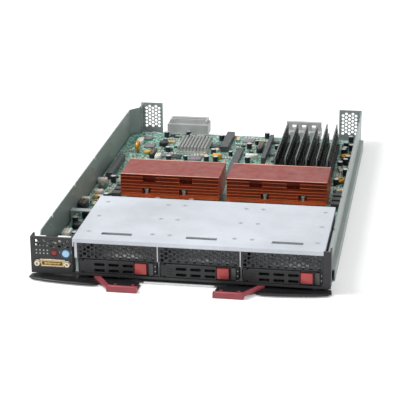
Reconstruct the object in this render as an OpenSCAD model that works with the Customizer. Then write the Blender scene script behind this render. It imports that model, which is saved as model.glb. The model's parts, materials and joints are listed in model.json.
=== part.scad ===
// Blade server module with its lid off: sheet steel tray, three drive bays behind a plastic bezel,
// two finned processor coolers, six memory modules and a pair of ejector levers.
// Axes: +X to the right seen from the front, +Y to the rear, +Z up.
// The origin is the centre of the footprint at the underside.

/* [Module] */
// Height from the underside to the top of the drive cage
module_h = 42.4; // [42.4:0.1:48]
// Distance from the drive cage to the heat sinks, less the gap ahead of the main board
channel_l = 76; // [60:1:90]

/* [Tray] */
// Thickness of the tray sheet
tray_t = 1.2; // [1:0.1:1.6]
// Height of the side walls
wall_h = 39; // [38:0.5:42]
// How far each side wall stands in from the edge of the bezel
wall_inset = 2.75; // [2:0.05:3.5]
// How far the left wall jogs inwards at the rear
jog_in = 10; // [6:0.5:12]
// Length of the jog
jog_len = 12; // [8:0.5:14]
// Length of the straight wall behind the jog
jog_tail = 12; // [10:0.5:16]
// Width of the notches in the top edge of the walls
notch_w = 5; // [3:0.5:8]
// Depth of the notches in the top edge of the walls
notch_h = 3; // [2:0.5:5]
// Height of the guide rails along the outside of the walls
rail_h = 12; // [8:0.5:16]
// How far the guide rails stand out from the walls
rail_reach = 4.2; // [3:0.1:5]
// How far the rear brackets stand ahead of the ends of the connectors
bracket_setback = 4.9; // [3:0.1:12]
// Width of the rear brackets
bracket_w = 27; // [24:0.5:32]
// Height of the top of the rear brackets
bracket_h = 42; // [39:0.5:42.4]
// Thickness of the rear brackets
bracket_t = 1; // [0.8:0.1:1.2]
// Length of the feet and flanges of the rear brackets
bracket_foot = 9; // [7:0.5:11]

/* [Bezel] */
// Thickness of the bezel plate
bezel_t = 2.5; // [2:0.1:4]
// Depth of the flanges behind the bezel
bezel_return = 12; // [9:0.5:14]
// Width of the post at the right-hand end of the bezel
post_w = 7.25; // [5:0.05:8]
// Height of the bar below the drive bays
sill_h = 2.4; // [1.5:0.1:2.6]
// Width of the control panel
panel_w = 40.9; // [40:0.1:41]
// Pitch of the honeycomb holes in the vents
comb_pitch = 4.5; // [4:0.1:6]
// Web between the honeycomb holes
comb_web = 1.2; // [0.8:0.1:1.6]

/* [Drive bays] */
// Thickness of the double wall between two bays
divider_t = 2; // [1.6:0.1:2.4]
// Thickness of the cage sheet
cage_t = 1; // [0.8:0.1:1.2]
// Height of the runners that the carriers slide on
runner_h = 1.6; // [1:0.1:2]
// Height of a drive carrier
carrier_h = 13.6; // [12.6:0.1:15]
// Sideways and upward clearance of a carrier in its bay
carrier_gap = 0.4; // [0.2:0.05:0.8]
// Thickness of a carrier's side rails
carrier_rail_t = 3; // [2:0.1:3.1]
// Length of the latch block at the right-hand end of a carrier
latch_block_w = 9; // [7:0.5:10]
// Width of a carrier's release button
release_w = 11.6; // [9:0.1:12]
// Height of a carrier's release button
release_h = 11; // [9:0.1:12]
// Travel of a carrier's release button
release_travel = 1.5; // [1:0.1:2]
// Thickness of a carrier's handle
handle_t = 4; // [3:0.1:4.5]
// Radius of the hinge barrel of a carrier's handle
barrel_r = 3; // [2.5:0.1:3.2]
// Radius of the hinge pin of a carrier's handle
hinge_pin_r = 1.2; // [1:0.05:1.5]
// Width of the drives
drive_w = 69.85; // [69.85:0.05:70.1]
// Length of the drives
drive_l = 100.45; // [100:0.05:101.6]
// Height of the drives
drive_h = 9.5; // [7:0.1:12.5]
// Height of the lip that the cage cover folds down over the front
lip_h = 3.8; // [3:0.1:4]
// Width of the slots in the cage cover
cover_slot_w = 29.7; // [20:0.1:34]
// Distance from one slot in the cage cover to the next
cover_slot_pitch = 82; // [70:1:84]

/* [Boards] */
// Height of the standoffs under the main board
standoff_h = 4.8; // [4:0.1:6]
// Thickness of the circuit boards
board_t = 1.6; // [1.2:0.1:2.4]
// Length of the main board's tongue beside the drive cage
tongue_l = 66; // [40:1:80]

/* [Processors] */
// Width of each heat sink
sink_w = 107; // [95:0.5:107]
// Depth of each heat sink
sink_d = 52; // [46:0.5:60]
// Height of the top of the heat sinks above the underside
sink_top = 38.2; // [30:0.2:39]
// Gap between the two heat sinks
sink_gap = 8.3; // [6:0.1:12]
// Distance from the right-hand heat sink to the right-hand wall
sink_side = 18; // [16:0.5:24]
// Thickness of a heat sink's base
sink_base_t = 3.5; // [2.5:0.1:5]
// Thickness of a cooling fin
fin_t = 0.5; // [0.4:0.05:0.7]
// Distance from one cooling fin to the next, before rounding
fin_pitch = 1.28; // [1.2:0.02:3]
// Side of a processor
cpu_w = 37.5; // [35:0.5:42.5]
// Spacing of a heat sink's screws across
sink_screw_x = 40.6; // [36:0.1:44]
// Distance of a heat sink's screws from its front and rear edges
sink_screw_in = 3.7; // [3.5:0.1:3.8]

/* [Memory] */
// Length of a memory module
dimm_l = 133.35; // [133.35:0.05:140]
// Height of a memory module
dimm_h = 30.35; // [18:0.05:31.2]
// Thickness of a memory module's board
dimm_t = 1.27; // [1:0.01:1.6]
// Distance from one memory module to the next
dimm_pitch = 11.6; // [10:0.1:12]
// Swing of a memory latch in degrees
latch_swing = 30; // [20:1:35]

/* [Levers] */
// Height of the space between the tray and the bezel that holds the levers
lever_space = 4.2; // [4.2:0.1:5]
// Thickness of a lever
lever_t = 1.7; // [1.4:0.1:1.8]
// Radius of the lever pivots
pivot_r = 2.5; // [2:0.1:3]
// Distance from a lever's pivot to the side of the module
pivot_in = 15.5; // [14:0.5:18]
// Distance from the face of the bezel to the lever pivots
pivot_y = 10; // [8:0.5:14]
// How far the lever grips reach ahead of the bezel
grip_reach = 24; // [20:0.5:30]
// Depth of the bar of a lever grip
grip_bar = 5; // [4:0.1:6]
// Length of the bar of a lever grip
grip_w = 29; // [24:0.5:34]
// Distance between the two lever grips
grip_gap = 72; // [60:1:80]
// Travel of a lever grip
grip_travel = 2; // [1.5:0.1:2.5]

/* [Controls] */
// Radius of the monitor button
monitor_r = 3.6; // [3:0.1:4]
// Radius of the power button
power_r = 2.8; // [2.4:0.1:3.2]
// Travel of the panel buttons
press_travel = 1; // [0.5:0.1:1.4]
// Spacing of the console connector's jack screws
jack_spacing = 29.3; // [27:0.1:30]

/* [Hidden] */

$fn = 32;
cut = 1;                       // how far a cutting shape runs past the face that it cuts
air = 0.3;                     // clearance between pieces that must not rub
run = 0.1;                     // flat running clearance
fit_r = 0.05;                  // radial clearance of a hinge
bays = 3;
dimms = 6;

// Widths, from the drives out to the sides
drive_side_gap = 0.175;
panel_gap = 4.35;              // from the control panel to the first bay
bay_w = drive_w + 2 * (drive_side_gap + carrier_rail_t + carrier_gap);
bay_pitch = bay_w + divider_t;
module_w = panel_w + panel_gap + bays * bay_pitch - divider_t + post_w;
half_w = module_w / 2;
wall_x = half_w - wall_inset;
inner_x = wall_x - tray_t;

// Depths, from the face of the bezel to the rear
front_set = 0.8;               // how far the carriers sit back from the face of the bezel
face_y = front_set + 2 * barrel_r + air;
front_wall_t = 2;
drive_y = face_y + front_wall_t + 1;
socket_gap = 0.3;
socket_d = 7;
backplane_y = drive_y + drive_l + socket_gap + socket_d;
cage_rear = backplane_y + board_t + 2.55;
board_front = cage_rear + 7;
sink_y = board_front + channel_l;
dimm_y = sink_y + sink_d + 24.5;
board_rear = dimm_y + dimm_l + 38.15;
jog_y = board_rear - 1 - jog_len;
wall_end_y = jog_y + jog_len + jog_tail;
bracket_y = wall_end_y + bracket_t;
module_d = bracket_y + bracket_setback;
mid_y = (module_d - grip_reach) / 2;
jog_x = -wall_x + jog_in;
jog_lean = atan(jog_in / jog_len);
floor_front = 0.5;
sill_d = 3;
wall_front = max(bezel_t, sill_d) + air;
left_wall_front = 28;
left_wall_step = 30;
left_wall_slope = 8;
notch_ys = [cage_rear - 52, board_front + 34, sink_y + 49, jog_y - 8];
rail_front = 28;
rail_len = jog_y + 8 - rail_front;
lever_slot_end = 27;

// Bezel
bezel_z = tray_t + lever_space;
bezel_h = module_h - bezel_z;
panel_x = -half_w;
post_x = half_w - post_w;
bezel_rib = 1.6;
comb_hole = comb_pitch - comb_web;
comb_col = comb_pitch * cos(30);

// Drive bays
function bay_x(i) = post_x - bay_w - (bays - 1 - i) * bay_pitch;
cage_left = bay_x(0) - cage_t;
cage_right = post_x + cage_t;
cage_front = sill_d;
cage_foot_w = 50;
nose_y = 9;                    // how far the bay walls sit back below the vents
carrier_z = bezel_z + cage_t + runner_h;
carrier_w = bay_w - 2 * carrier_gap;
handle_end = carrier_w - latch_block_w - release_w - 2 * air;
drive_ledge = 1;
drive_z = carrier_z + drive_ledge;
drive_x = (bay_w - drive_w) / 2;
grille_z = carrier_z + carrier_h + 2 * carrier_gap;
grille_h = module_h - lip_h - grille_z - run;
grille_y = 1.5;
grille_t = 1;
flange_w = 2.5;
cover_left = bay_x(0) - 4;
cover_z = module_h - cage_t;
cover_slot_l = 6;
cover_shank_r = 1;
cover_head_r = 1.9;
cover_head_h = 0.5;
cover_slot_y = 15;
backplane_h = 18.6;
slot_w = 10.2;
slot_h = 2.8;
slot_step = 13.8;
slot_x = handle_end - 38.4;
slot_zs = [1.5, carrier_h - slot_h - 3.3];
hinge_x = carrier_gap + barrel_r;
hinge_y = front_set + barrel_r;
lug_t = 1.2;

// Boards
board_z = tray_t + standoff_h;
board_top = board_z + board_t;
board_side = 1;
board_left = -inner_x + board_side;
board_right = inner_x - board_side;
tongue_right = cover_left - 1.5;
screw_in = 6;
board_screws = [
  [board_left + 2 * screw_in, board_front + screw_in], [4, board_front + screw_in],
  [board_right - screw_in, board_front + screw_in], [board_left + 34, dimm_y + 7.5],
  [4, dimm_y - 4], [board_right - screw_in, sink_y + sink_d + 13],
  [board_left + 27, board_rear - screw_in], [4, board_rear - screw_in],
  [board_right - screw_in, board_rear - 16],
];

// Processors
sink_right = inner_x - sink_side;
sink_xs = [sink_right - 1.5 * sink_w - sink_gap, sink_right - sink_w / 2];
cpu_xs = [sink_xs[0] - 5.2, sink_xs[1] + 7.8];
fins = round((sink_w - fin_t) / fin_pitch) + 1;
fin_step = (sink_w - fin_t) / (fins - 1);
socket_frame = 1.5;
socket_h = 2.6;
cpu_seat = 1.2;
cpu_board_t = 1.2;
cpu_lid_t = 2.8;
cpu_lid_in = 3.5;
sink_z = board_top + cpu_seat + cpu_board_t + cpu_lid_t;
fin_z = sink_z + sink_base_t;
sink_screw_y = sink_d - 2 * sink_screw_in;
sink_shank_r = 1.5;
sink_screw_head_r = 3.2;
sink_screw_top = fin_z + 6;
well_w = 9;
window_w = 13.2;
window_h = 4.5;
window_d = 5;
window_drop = 4;
window_xs = [-22.3, 17.7];
sheet_t = 0.5;

// Memory
dimm_x = inner_x - 24.6 - (dimms - 1) * dimm_pitch;
dimm_seat = 1;
dimm_z = board_top + dimm_seat;
dimm_slot_side = 2.6;
dimm_socket_w = 2 * dimm_slot_side + dimm_t;
dimm_socket_h = 6;
dimm_end = 2;
dimm_tower_h = 9;
latch_l = 7;
latch_w = 4.6;
latch_h = 16;
latch_pin_r = 1;
latch_pin_z = board_top + 2.6;
latch_cheek = (dimm_socket_w - latch_w) / 2 - air;

// Levers
lever_z = tray_t + run;
grip_top = bezel_z - run;
grip_base = 0.2;
lever_edge = -grip_reach + grip_bar + grip_travel + 1;
lever_root = half_w - pivot_in;
grip_in = grip_gap / 2;
grip_out = grip_in + grip_w;
grip_slant = 14;
hook_reach = 1.5;
stud_r = 1.5;
stud_in = 6;
stud_back = 8;
slot_run = grip_travel + 0.5;

// Controls
panel_light_x = 5.8;
panel_light_pitch = 3.6;
panel_light_z = 20.4 + bezel_z;
panel_light_step = 3.2;
panel_lights = 4;
power_x = panel_x + 23.2;
power_z = 21.4 + bezel_z;
monitor_x = panel_x + 34.6;
monitor_z = 21 + bezel_z;
console_x = panel_x + 21.3;
console_z = 10.9 + bezel_z;
console_w = 21.4;
console_h = 5;
jack_r = 2.7;
control_y = 9;
control_h = 26;

module from_front() {
  translate([0, -mid_y, 0]) children();
}

module rounded_box(size, r) {
  translate([r, 0, 0]) cube([size[0] - 2 * r, size[1], size[2]]);
  translate([0, r, 0]) cube([size[0], size[1] - 2 * r, size[2]]);
  for (x = [r, size[0] - r], y = [r, size[1] - r]) translate([x, y, 0]) cylinder(r = r, h = size[2]);
}

// Honeycomb of upright columns of holes, drawn in the XZ plane and cut along Y
module honeycomb(w, h, t) {
  cols = floor((w - comb_hole) / comb_col) + 1;
  side = (w - (cols - 1) * comb_col) / 2;
  for (c = [0:cols - 1]) {
    shift = c % 2 == 0 ? 0 : comb_pitch / 2;
    rows = floor((h - comb_hole - shift) / comb_pitch) + 1;
    for (r = [0:rows - 1])
      translate([side + c * comb_col, t + cut, comb_hole / 2 + shift + r * comb_pitch])
        rotate([90, 0, 0])
          cylinder(d = comb_hole / cos(30), h = t + 2 * cut, $fn = 6);
  }
}

// Sheet metal

module wall_notches(y_list) {
  for (y = y_list)
    translate([-cut, y - notch_w / 2, wall_h - notch_h]) cube([tray_t + 2 * cut, notch_w, notch_h + cut]);
}

module left_wall() {
  bend = tray_t * tan(jog_lean / 2);
  difference() {
    linear_extrude(wall_h)
      polygon([
        [-wall_x, wall_front], [-wall_x, jog_y], [jog_x, jog_y + jog_len], [jog_x, wall_end_y],
        [jog_x + tray_t, wall_end_y], [jog_x + tray_t, jog_y + jog_len - bend],
        [-wall_x + tray_t, jog_y - bend], [-wall_x + tray_t, wall_front],
      ]);
    translate([-wall_x - cut, 0, 0]) rotate([90, 0, 90])
      linear_extrude(tray_t + 2 * cut)
        polygon([
          [-cut, left_wall_step], [left_wall_front - left_wall_slope, left_wall_step],
          [left_wall_front, wall_h + cut], [-cut, wall_h + cut],
        ]);
    translate([-wall_x, 0, 0]) wall_notches(notch_ys);
    translate([jog_x - cut, wall_end_y - jog_tail + 4, 12]) cube([tray_t + 2 * cut, 2, 7]);
    translate([jog_x - cut, wall_end_y - jog_tail + 4, 10]) cube([tray_t + 2 * cut, 5, 2.4]);
  }
}

module right_wall() {
  difference() {
    translate([inner_x, wall_front, 0]) cube([tray_t, wall_end_y - wall_front, wall_h]);
    translate([inner_x, 0, 0]) wall_notches(notch_ys);
  }
}

module guide_rail() {
  lead = 6;
  translate([wall_x, rail_front, 0])
    linear_extrude(tray_t)
      polygon([[0, 0], [rail_reach, lead], [rail_reach, rail_len - lead], [0, rail_len]]);
  translate([wall_x + rail_reach - tray_t, rail_front + lead, 0])
    cube([tray_t, rail_len - 2 * lead, rail_h]);
  translate([wall_x, rail_front + lead, rail_h - tray_t])
    cube([rail_reach, rail_len - 2 * lead, tray_t]);
}

module chassis_tray() color("#a9afb0") from_front() {
  difference() {
    union() {
      linear_extrude(tray_t)
        polygon([
          [-wall_x, floor_front], [wall_x, floor_front], [wall_x, wall_end_y], [jog_x, wall_end_y],
          [jog_x, jog_y + jog_len], [-wall_x, jog_y],
        ]);
      left_wall();
      right_wall();
    }
    for (side = [-1, 1])
      translate([side * wall_x - 2 * tray_t, floor_front - cut, tray_t])
        cube([4 * tray_t, lever_slot_end - floor_front + cut, lever_space]);
  }
  guide_rail();
  mirror([1, 0, 0]) guide_rail();
}

// Plate behind the end of a side wall, with a flange inside the wall and a foot on the floor
module rear_bracket(side_gap) {
  foot_z = tray_t;
  vent_z = 11;
  difference() {
    translate([0, bracket_y - bracket_t, foot_z]) cube([bracket_w, bracket_t, bracket_h - foot_z]);
    translate([side_gap + 3.5, bracket_y - bracket_t, vent_z])
      honeycomb(bracket_w - side_gap - 6, bracket_h - vent_z - 1.5, bracket_t);
  }
  difference() {
    translate([side_gap, bracket_y - bracket_t - bracket_foot, foot_z])
      cube([bracket_t, bracket_foot, wall_h - foot_z]);
    for (z = [14, 30])
      translate([side_gap - cut, bracket_y - bracket_foot / 2 - 1, z]) rotate([0, 90, 0])
        cylinder(r = 1.6, h = bracket_t + 2 * cut);
  }
  translate([side_gap, bracket_y - bracket_t - bracket_foot, foot_z])
    cube([bracket_w - side_gap, bracket_foot, bracket_t]);
}

module rear_bracket_left() color("#8f9796") from_front() {
  translate([jog_x, 0, 0]) rear_bracket(tray_t);
}

module rear_bracket_right() color("#8f9796") from_front() {
  translate([wall_x, 0, 0]) mirror([1, 0, 0]) rear_bracket(tray_t);
}

// Drive cage

module drive_cage() color("#c3c8cb") from_front() {
  runner_w = 5;
  cage_h = cover_z - bezel_z;
  length = cage_rear - cage_front;
  nose_w = 1;
  translate([cage_left, cage_front, bezel_z]) cube([cage_right - cage_left, length, cage_t]);
  translate([cage_left, nose_y, bezel_z]) cube([cage_t, cage_rear - nose_y, cage_h]);
  translate([post_x, cage_front, bezel_z]) cube([cage_t, length, cage_h]);
  for (i = [1:bays - 1]) {
    translate([bay_x(i) - divider_t, nose_y, bezel_z])
      cube([divider_t, backplane_y - air - nose_y, cage_h]);
    // Thin edge of a divider, above the carriers only
    translate([bay_x(i) - (divider_t + nose_w) / 2, grille_y, grille_z])
      cube([nose_w, nose_y - grille_y + cut, cover_z - grille_z]);
  }
  for (i = [0:bays - 1], x = [0, bay_w - runner_w])
    translate([bay_x(i) + x, cage_front, bezel_z + cage_t]) cube([runner_w, length - 12, runner_h]);
  // Front flange of the left-hand wall, above the carriers
  translate([cage_left + cage_t - flange_w, grille_y, grille_z])
    cube([flange_w, cage_t, grille_h]);
  translate([cage_left, grille_y, grille_z]) cube([cage_t, nose_y - grille_y + cut, cover_z - grille_z]);
  // Feet on the tray floor
  for (x = [cage_left, cage_right - 14])
    translate([x, cage_rear - 12, tray_t]) cube([14, 12, bezel_z - tray_t]);
  translate([-cage_foot_w / 2, cage_rear - 12, tray_t]) cube([cage_foot_w, 12, bezel_z - tray_t]);
}

module cover_screw_places() {
  side_in = 7.4;
  for (i = [0:bays - 1], x = [side_in, bay_w - side_in], y = [22, cage_rear / 2 + 3.5, cage_rear - 17])
    translate([bay_x(i) + x, y, 0]) children();
}

module cage_cover() color("#cdd2d6") from_front() {
  skirt_h = 7;
  mid_x = (bay_x(0) + post_x) / 2;
  difference() {
    translate([cover_left, 0, cover_z]) cube([cage_right - cover_left, cage_rear, cage_t]);
    translate([post_x, -cut, cover_z - cut]) cube([cage_t + cut, wall_front + cut, cage_t + 2 * cut]);
    for (i = [0:bays - 1])
      translate([mid_x + (i - (bays - 1) / 2) * cover_slot_pitch - cover_slot_w / 2, cover_slot_y, cover_z - cut])
        cube([cover_slot_w, cover_slot_l, cage_t + 2 * cut]);
    cover_screw_places() {
      translate([0, 0, cover_z - cut]) cylinder(r = cover_shank_r + run, h = cage_t + 2 * cut);
      translate([0, 0, module_h - cover_head_h]) cylinder(r = cover_head_r + run, h = cut);
    }
  }
  translate([cover_left, 0, module_h - lip_h]) cube([post_x - cover_left, cage_t, lip_h]);
  translate([cover_left, 0, cover_z - skirt_h]) cube([cage_t, cage_rear, skirt_h]);
}

module board_screw_places() {
  for (p = board_screws) translate([p[0], p[1], 0]) children();
}

module case_screws() color("#d9dcde") from_front() {
  cover_screw_places() {
    translate([0, 0, module_h - cover_head_h]) cylinder(r = cover_head_r, h = cover_head_h);
    translate([0, 0, cover_z]) cylinder(r = cover_shank_r, h = cage_t - cover_head_h / 2);
  }
  board_screw_places() {
    translate([0, 0, board_top]) cylinder(r = 2.8, h = 1.6);
    translate([0, 0, board_z]) cylinder(r = 1.5, h = board_t + cut);
  }
  // Shoulder screws that the ejector levers turn on
  for (side = [-1, 1])
    translate([side * lever_root, pivot_y, tray_t]) {
      cylinder(r = pivot_r, h = lever_t + 3 * run);
      translate([0, 0, lever_t + 2 * run]) cylinder(r = pivot_r + 1.5, h = 1);
    }
}

module panel_light_places() {
  for (i = [0:panel_lights - 1], row = [0, 1])
    translate([panel_x + panel_light_x + i * panel_light_pitch, 0, panel_light_z + row * panel_light_step])
      children();
}

module front_bezel() color("#2b2b2e") from_front() {
  vent_h = 9.4;
  boss_r = 2;
  boss_in = 6.8;
  difference() {
    translate([panel_x, 0, bezel_z]) cube([panel_w, bezel_t, bezel_h]);
    translate([panel_x + 3, 0, module_h - vent_h - 1]) honeycomb(panel_w - 5, vent_h, bezel_t);
    panel_light_places() translate([0, bezel_t + cut, 0]) rotate([90, 0, 0])
      cylinder(r = 0.7 + fit_r, h = bezel_t + 2 * cut, $fn = 16);
    translate([power_x, bezel_t + cut, power_z]) rotate([90, 0, 0])
      cylinder(r = power_r + air, h = bezel_t + 2 * cut);
    translate([monitor_x, bezel_t + cut, monitor_z]) rotate([90, 0, 0])
      cylinder(r = monitor_r + air, h = bezel_t + 2 * cut);
    translate([console_x - console_w / 2 - air, -cut, console_z - console_h / 2 - air])
      cube([console_w + 2 * air, bezel_t + 2 * cut, console_h + 2 * air]);
    for (side = [-1, 1])
      translate([console_x + side * jack_spacing / 2, bezel_t + cut, console_z]) rotate([90, 0, 0])
        cylinder(r = 1.6 + air, h = bezel_t + 2 * cut);
  }
  translate([panel_x, 0, bezel_z]) cube([bezel_rib, bezel_return, bezel_h]);
  translate([panel_x + panel_w - bezel_rib, 0, bezel_z]) cube([bezel_rib, bezel_return, bezel_h]);
  for (x = [panel_x + boss_in, panel_x + panel_w - boss_in])
    translate([x, control_y, bezel_z + 4]) rotate([90, 0, 0]) cylinder(r = boss_r, h = control_y - bezel_t / 2);
}

// Bar below the bays with the post at its right-hand end
module bay_frame() color("#2b2b2e") from_front() {
  sill_x = panel_x + panel_w;
  translate([sill_x, 0, bezel_z]) cube([half_w - sill_x, sill_d, sill_h]);
  translate([post_x, 0, bezel_z]) cube([post_w, bezel_t, bezel_h]);
  translate([half_w - bezel_rib, 0, bezel_z]) cube([bezel_rib, bezel_return, bezel_h]);
}

module vent_grilles() color("#303234") from_front() {
  rim = 0.75;
  for (i = [0:bays - 1])
    translate([bay_x(i), grille_y, grille_z])
      difference() {
        cube([bay_w, grille_t, grille_h]);
        translate([rim, 0, rim]) honeycomb(bay_w - 2 * rim, grille_h - 2 * rim, grille_t);
      }
}

// Drive carriers, drawn with the left-hand wall of the bay at x = 0

module carrier(i) color("#26272a") from_front() translate([bay_x(i), 0, carrier_z]) {
  rail_l = drive_y + drive_l - face_y - 4;
  rail_h = carrier_h - 1.6;
  left = carrier_gap;
  right = bay_w - carrier_gap;
  block_x = right - latch_block_w;
  block_in = 2.2;
  rib_in = 1.9;
  rib_w = 4.5;
  difference() {
    translate([left, face_y, 0]) cube([carrier_w, front_wall_t, carrier_h]);
    for (z = slot_zs)
      translate([slot_x, face_y - cut, z]) cube([2 * slot_step + slot_w, front_wall_t + 2 * cut, slot_h]);
    translate([block_x - air - release_w, face_y - cut, (carrier_h - release_h) / 2])
      cube([release_w, front_wall_t + 2 * cut, release_h]);
  }
  for (x = [left, right - carrier_rail_t])
    difference() {
      translate([x, face_y, 0]) cube([carrier_rail_t, rail_l, rail_h]);
      for (y = [24, 62])
        translate([x - cut, face_y + y, 5]) cube([carrier_rail_t + 2 * cut, 18, rail_h]);
    }
  for (x = [left, right - carrier_rail_t - 3])
    translate([x, face_y, 0]) cube([carrier_rail_t + 3, rail_l, drive_ledge]);
  // Latch block to the right of the release button, with the end of the latch standing out of it
  translate([block_x, front_set + block_in, 0])
    cube([latch_block_w, face_y - front_set - block_in, carrier_h]);
  translate([block_x + rib_in, front_set, 0.5]) cube([rib_w, block_in + cut, carrier_h - 1]);
  translate([block_x - release_w - air, front_set + 1, 0])
    cube([release_w + 2 * air, face_y - front_set - 1, (carrier_h - release_h) / 2 - air]);
  translate([block_x - release_w - air, front_set + 1, (carrier_h + release_h) / 2 + air])
    cube([release_w + 2 * air, face_y - front_set - 1, (carrier_h - release_h) / 2 - air]);
  // Hinge lugs and the pin between them
  for (z = [0, carrier_h - lug_t])
    translate([hinge_x, hinge_y, z]) {
      cylinder(r = barrel_r - air, h = lug_t);
      translate([-barrel_r + air, 0, 0]) cube([2 * (barrel_r - air), face_y - hinge_y + cut, lug_t]);
    }
  translate([hinge_x, hinge_y, 0]) cylinder(r = hinge_pin_r, h = carrier_h);
}

module handle(i) color("#2f3033") from_front() translate([bay_x(i), 0, carrier_z]) {
  barrel_z = lug_t + run;
  difference() {
    union() {
      translate([hinge_x, hinge_y, barrel_z]) cylinder(r = barrel_r, h = carrier_h - 2 * barrel_z);
      translate([hinge_x, front_set, barrel_z])
        cube([2 * barrel_r, handle_t, carrier_h - 2 * barrel_z]);
      translate([hinge_x + barrel_r + air, front_set, run])
        cube([handle_end - hinge_x - barrel_r, handle_t, carrier_h - 2 * run]);
    }
    translate([hinge_x, hinge_y, -cut]) cylinder(r = hinge_pin_r + fit_r, h = carrier_h + 2 * cut);
    for (c = [0:2], z = slot_zs)
      translate([slot_x + c * slot_step, front_set + handle_t + cut, z]) rotate([90, 0, 0])
        rounded_box([slot_w, slot_h, handle_t + 2 * cut], 1);
    // Shallow finger ribs beside the hinge
    for (z = [0.2, 0.4, 0.6] * carrier_h)
      translate([hinge_x + barrel_r + 2, front_set - cut, z])
        cube([slot_x - hinge_x - barrel_r - 5, cut + 0.3, 1]);
  }
}

module release_button(i) color("#a33b3f") from_front() translate([bay_x(i), 0, carrier_z]) {
  x = bay_w - carrier_gap - latch_block_w - release_w;
  stem_in = 2.5;
  translate([x, front_set - 0.4, (carrier_h - release_h) / 2 + air])
    cube([release_w - air, 3, release_h - 2 * air]);
  translate([x + stem_in, front_set + 2, (carrier_h - release_h) / 2 + stem_in])
    cube([release_w - 2 * stem_in, face_y - front_set - 2, release_h - 2 * stem_in]);
}

module drive(i) color("#b9bdc0") from_front() translate([bay_x(i) + drive_x, drive_y, drive_z]) {
  plug_w = 34;
  plug_h = 5;
  difference() {
    rounded_box([drive_w, drive_l, drive_h], 1.5);
    translate([(drive_w - plug_w) / 2, drive_l - 5, 1.2]) cube([plug_w, 5 + cut, plug_h]);
    translate([6, -cut, drive_h - 2]) cube([drive_w - 12, 2 + cut, 2 + cut]);
  }
}

module drive_backplane() color("#2f6b55") from_front() {
  translate([bay_x(0) + run, backplane_y, bezel_z + cage_t])
    cube([post_x - bay_x(0) - 2 * run, board_t, backplane_h]);
}

module backplane_sockets() color("#1d1e20") from_front() {
  socket_w = 42;
  tongue_w = 30;
  for (i = [0:bays - 1])
    translate([bay_x(i) + bay_w / 2, backplane_y - socket_d, drive_z]) {
      translate([-socket_w / 2, 0, 0]) cube([socket_w, socket_d, 8]);
      translate([-tongue_w / 2, -3.5, 2.4]) cube([tongue_w, 3.5 + cut, 2.4]);
    }
}

// Control panel

module control_board() color("#2f7a63") from_front() {
  left = -inner_x + air;
  translate([left, control_y, bezel_z + 1])
    cube([panel_x + panel_w - bezel_rib - air - left, board_t, control_h]);
}

module panel_button(x, z, r) {
  proud = 0.6;
  back_y = control_y - press_travel - air;
  translate([x, back_y, z]) rotate([90, 0, 0]) {
    cylinder(r = r, h = back_y + proud - 0.4);
    cylinder(r = r - 0.5, h = back_y + proud);
  }
}

module power_button() color("#8f3a3e") from_front() panel_button(power_x, power_z, power_r);

module monitor_button() color("#9cc3e0") from_front() panel_button(monitor_x, monitor_z, monitor_r);

module status_lights() color("#e8ece6") from_front() {
  panel_light_places() translate([0, control_y, 0]) rotate([90, 0, 0])
    cylinder(r = 0.7, h = control_y, $fn = 16);
}

module console_connector() color("#c8b48c") from_front() {
  shell = 0.6;
  depth = control_y + 1.2;
  difference() {
    translate([console_x - console_w / 2, -1.2, console_z - console_h / 2]) cube([console_w, depth, console_h]);
    translate([console_x - console_w / 2 + shell, -1.2 - cut, console_z - console_h / 2 + shell])
      cube([console_w - 2 * shell, 5 + cut, console_h - 2 * shell]);
  }
  translate([console_x - console_w / 2 + 3, -0.8, console_z - 0.7]) cube([console_w - 6, 5, 1.4]);
}

module jack_screws() color("#d8cfb8") from_front() {
  for (side = [-1, 1])
    translate([console_x + side * jack_spacing / 2, 0, console_z]) rotate([90, 0, 0])
      difference() {
        union() {
          cylinder(r = jack_r, h = 3.4, $fn = 6);
          translate([0, 0, -control_y]) cylinder(r = 1.6, h = control_y + 1);
        }
        translate([0, 0, 0.6]) cylinder(r = 1.25, h = 4);
      }
}

// Ejector levers, drawn for the left-hand side

module stud_places() {
  for (x = [-grip_in - stud_in, -grip_out + stud_in]) translate([x, -grip_reach + grip_bar + stud_back, 0]) children();
}

module lever_arm() {
  tip_x = -half_w - hook_reach;
  difference() {
    linear_extrude(lever_t)
      polygon([
        [tip_x, -4], [-grip_out - grip_slant - 7, -4], [-grip_out - 1, lever_edge], [-grip_in - 1, lever_edge],
        [-grip_in - 1, -4], [-grip_out - 4, 8], [-lever_root + 8, pivot_y + 8], [-lever_root - 4, pivot_y + 8],
        [-half_w + wall_inset + tray_t + 1.5, 6], [tip_x + 1, 4],
      ]);
    translate([-lever_root, pivot_y, -cut]) cylinder(r = pivot_r + fit_r, h = lever_t + 2 * cut);
    // Slots that the studs of the sliding grip run in
    stud_places() {
      for (y = [0, slot_run]) translate([0, y, -cut]) cylinder(r = stud_r + fit_r, h = lever_t + 2 * cut);
      translate([-stud_r - fit_r, 0, -cut]) cube([2 * (stud_r + fit_r), slot_run, lever_t + 2 * cut]);
    }
  }
}

module ejector_lever_left() color("#222326") from_front() translate([0, 0, lever_z]) lever_arm();

module ejector_lever_right() color("#222326") from_front() mirror([1, 0, 0]) translate([0, 0, lever_z]) lever_arm();

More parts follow.
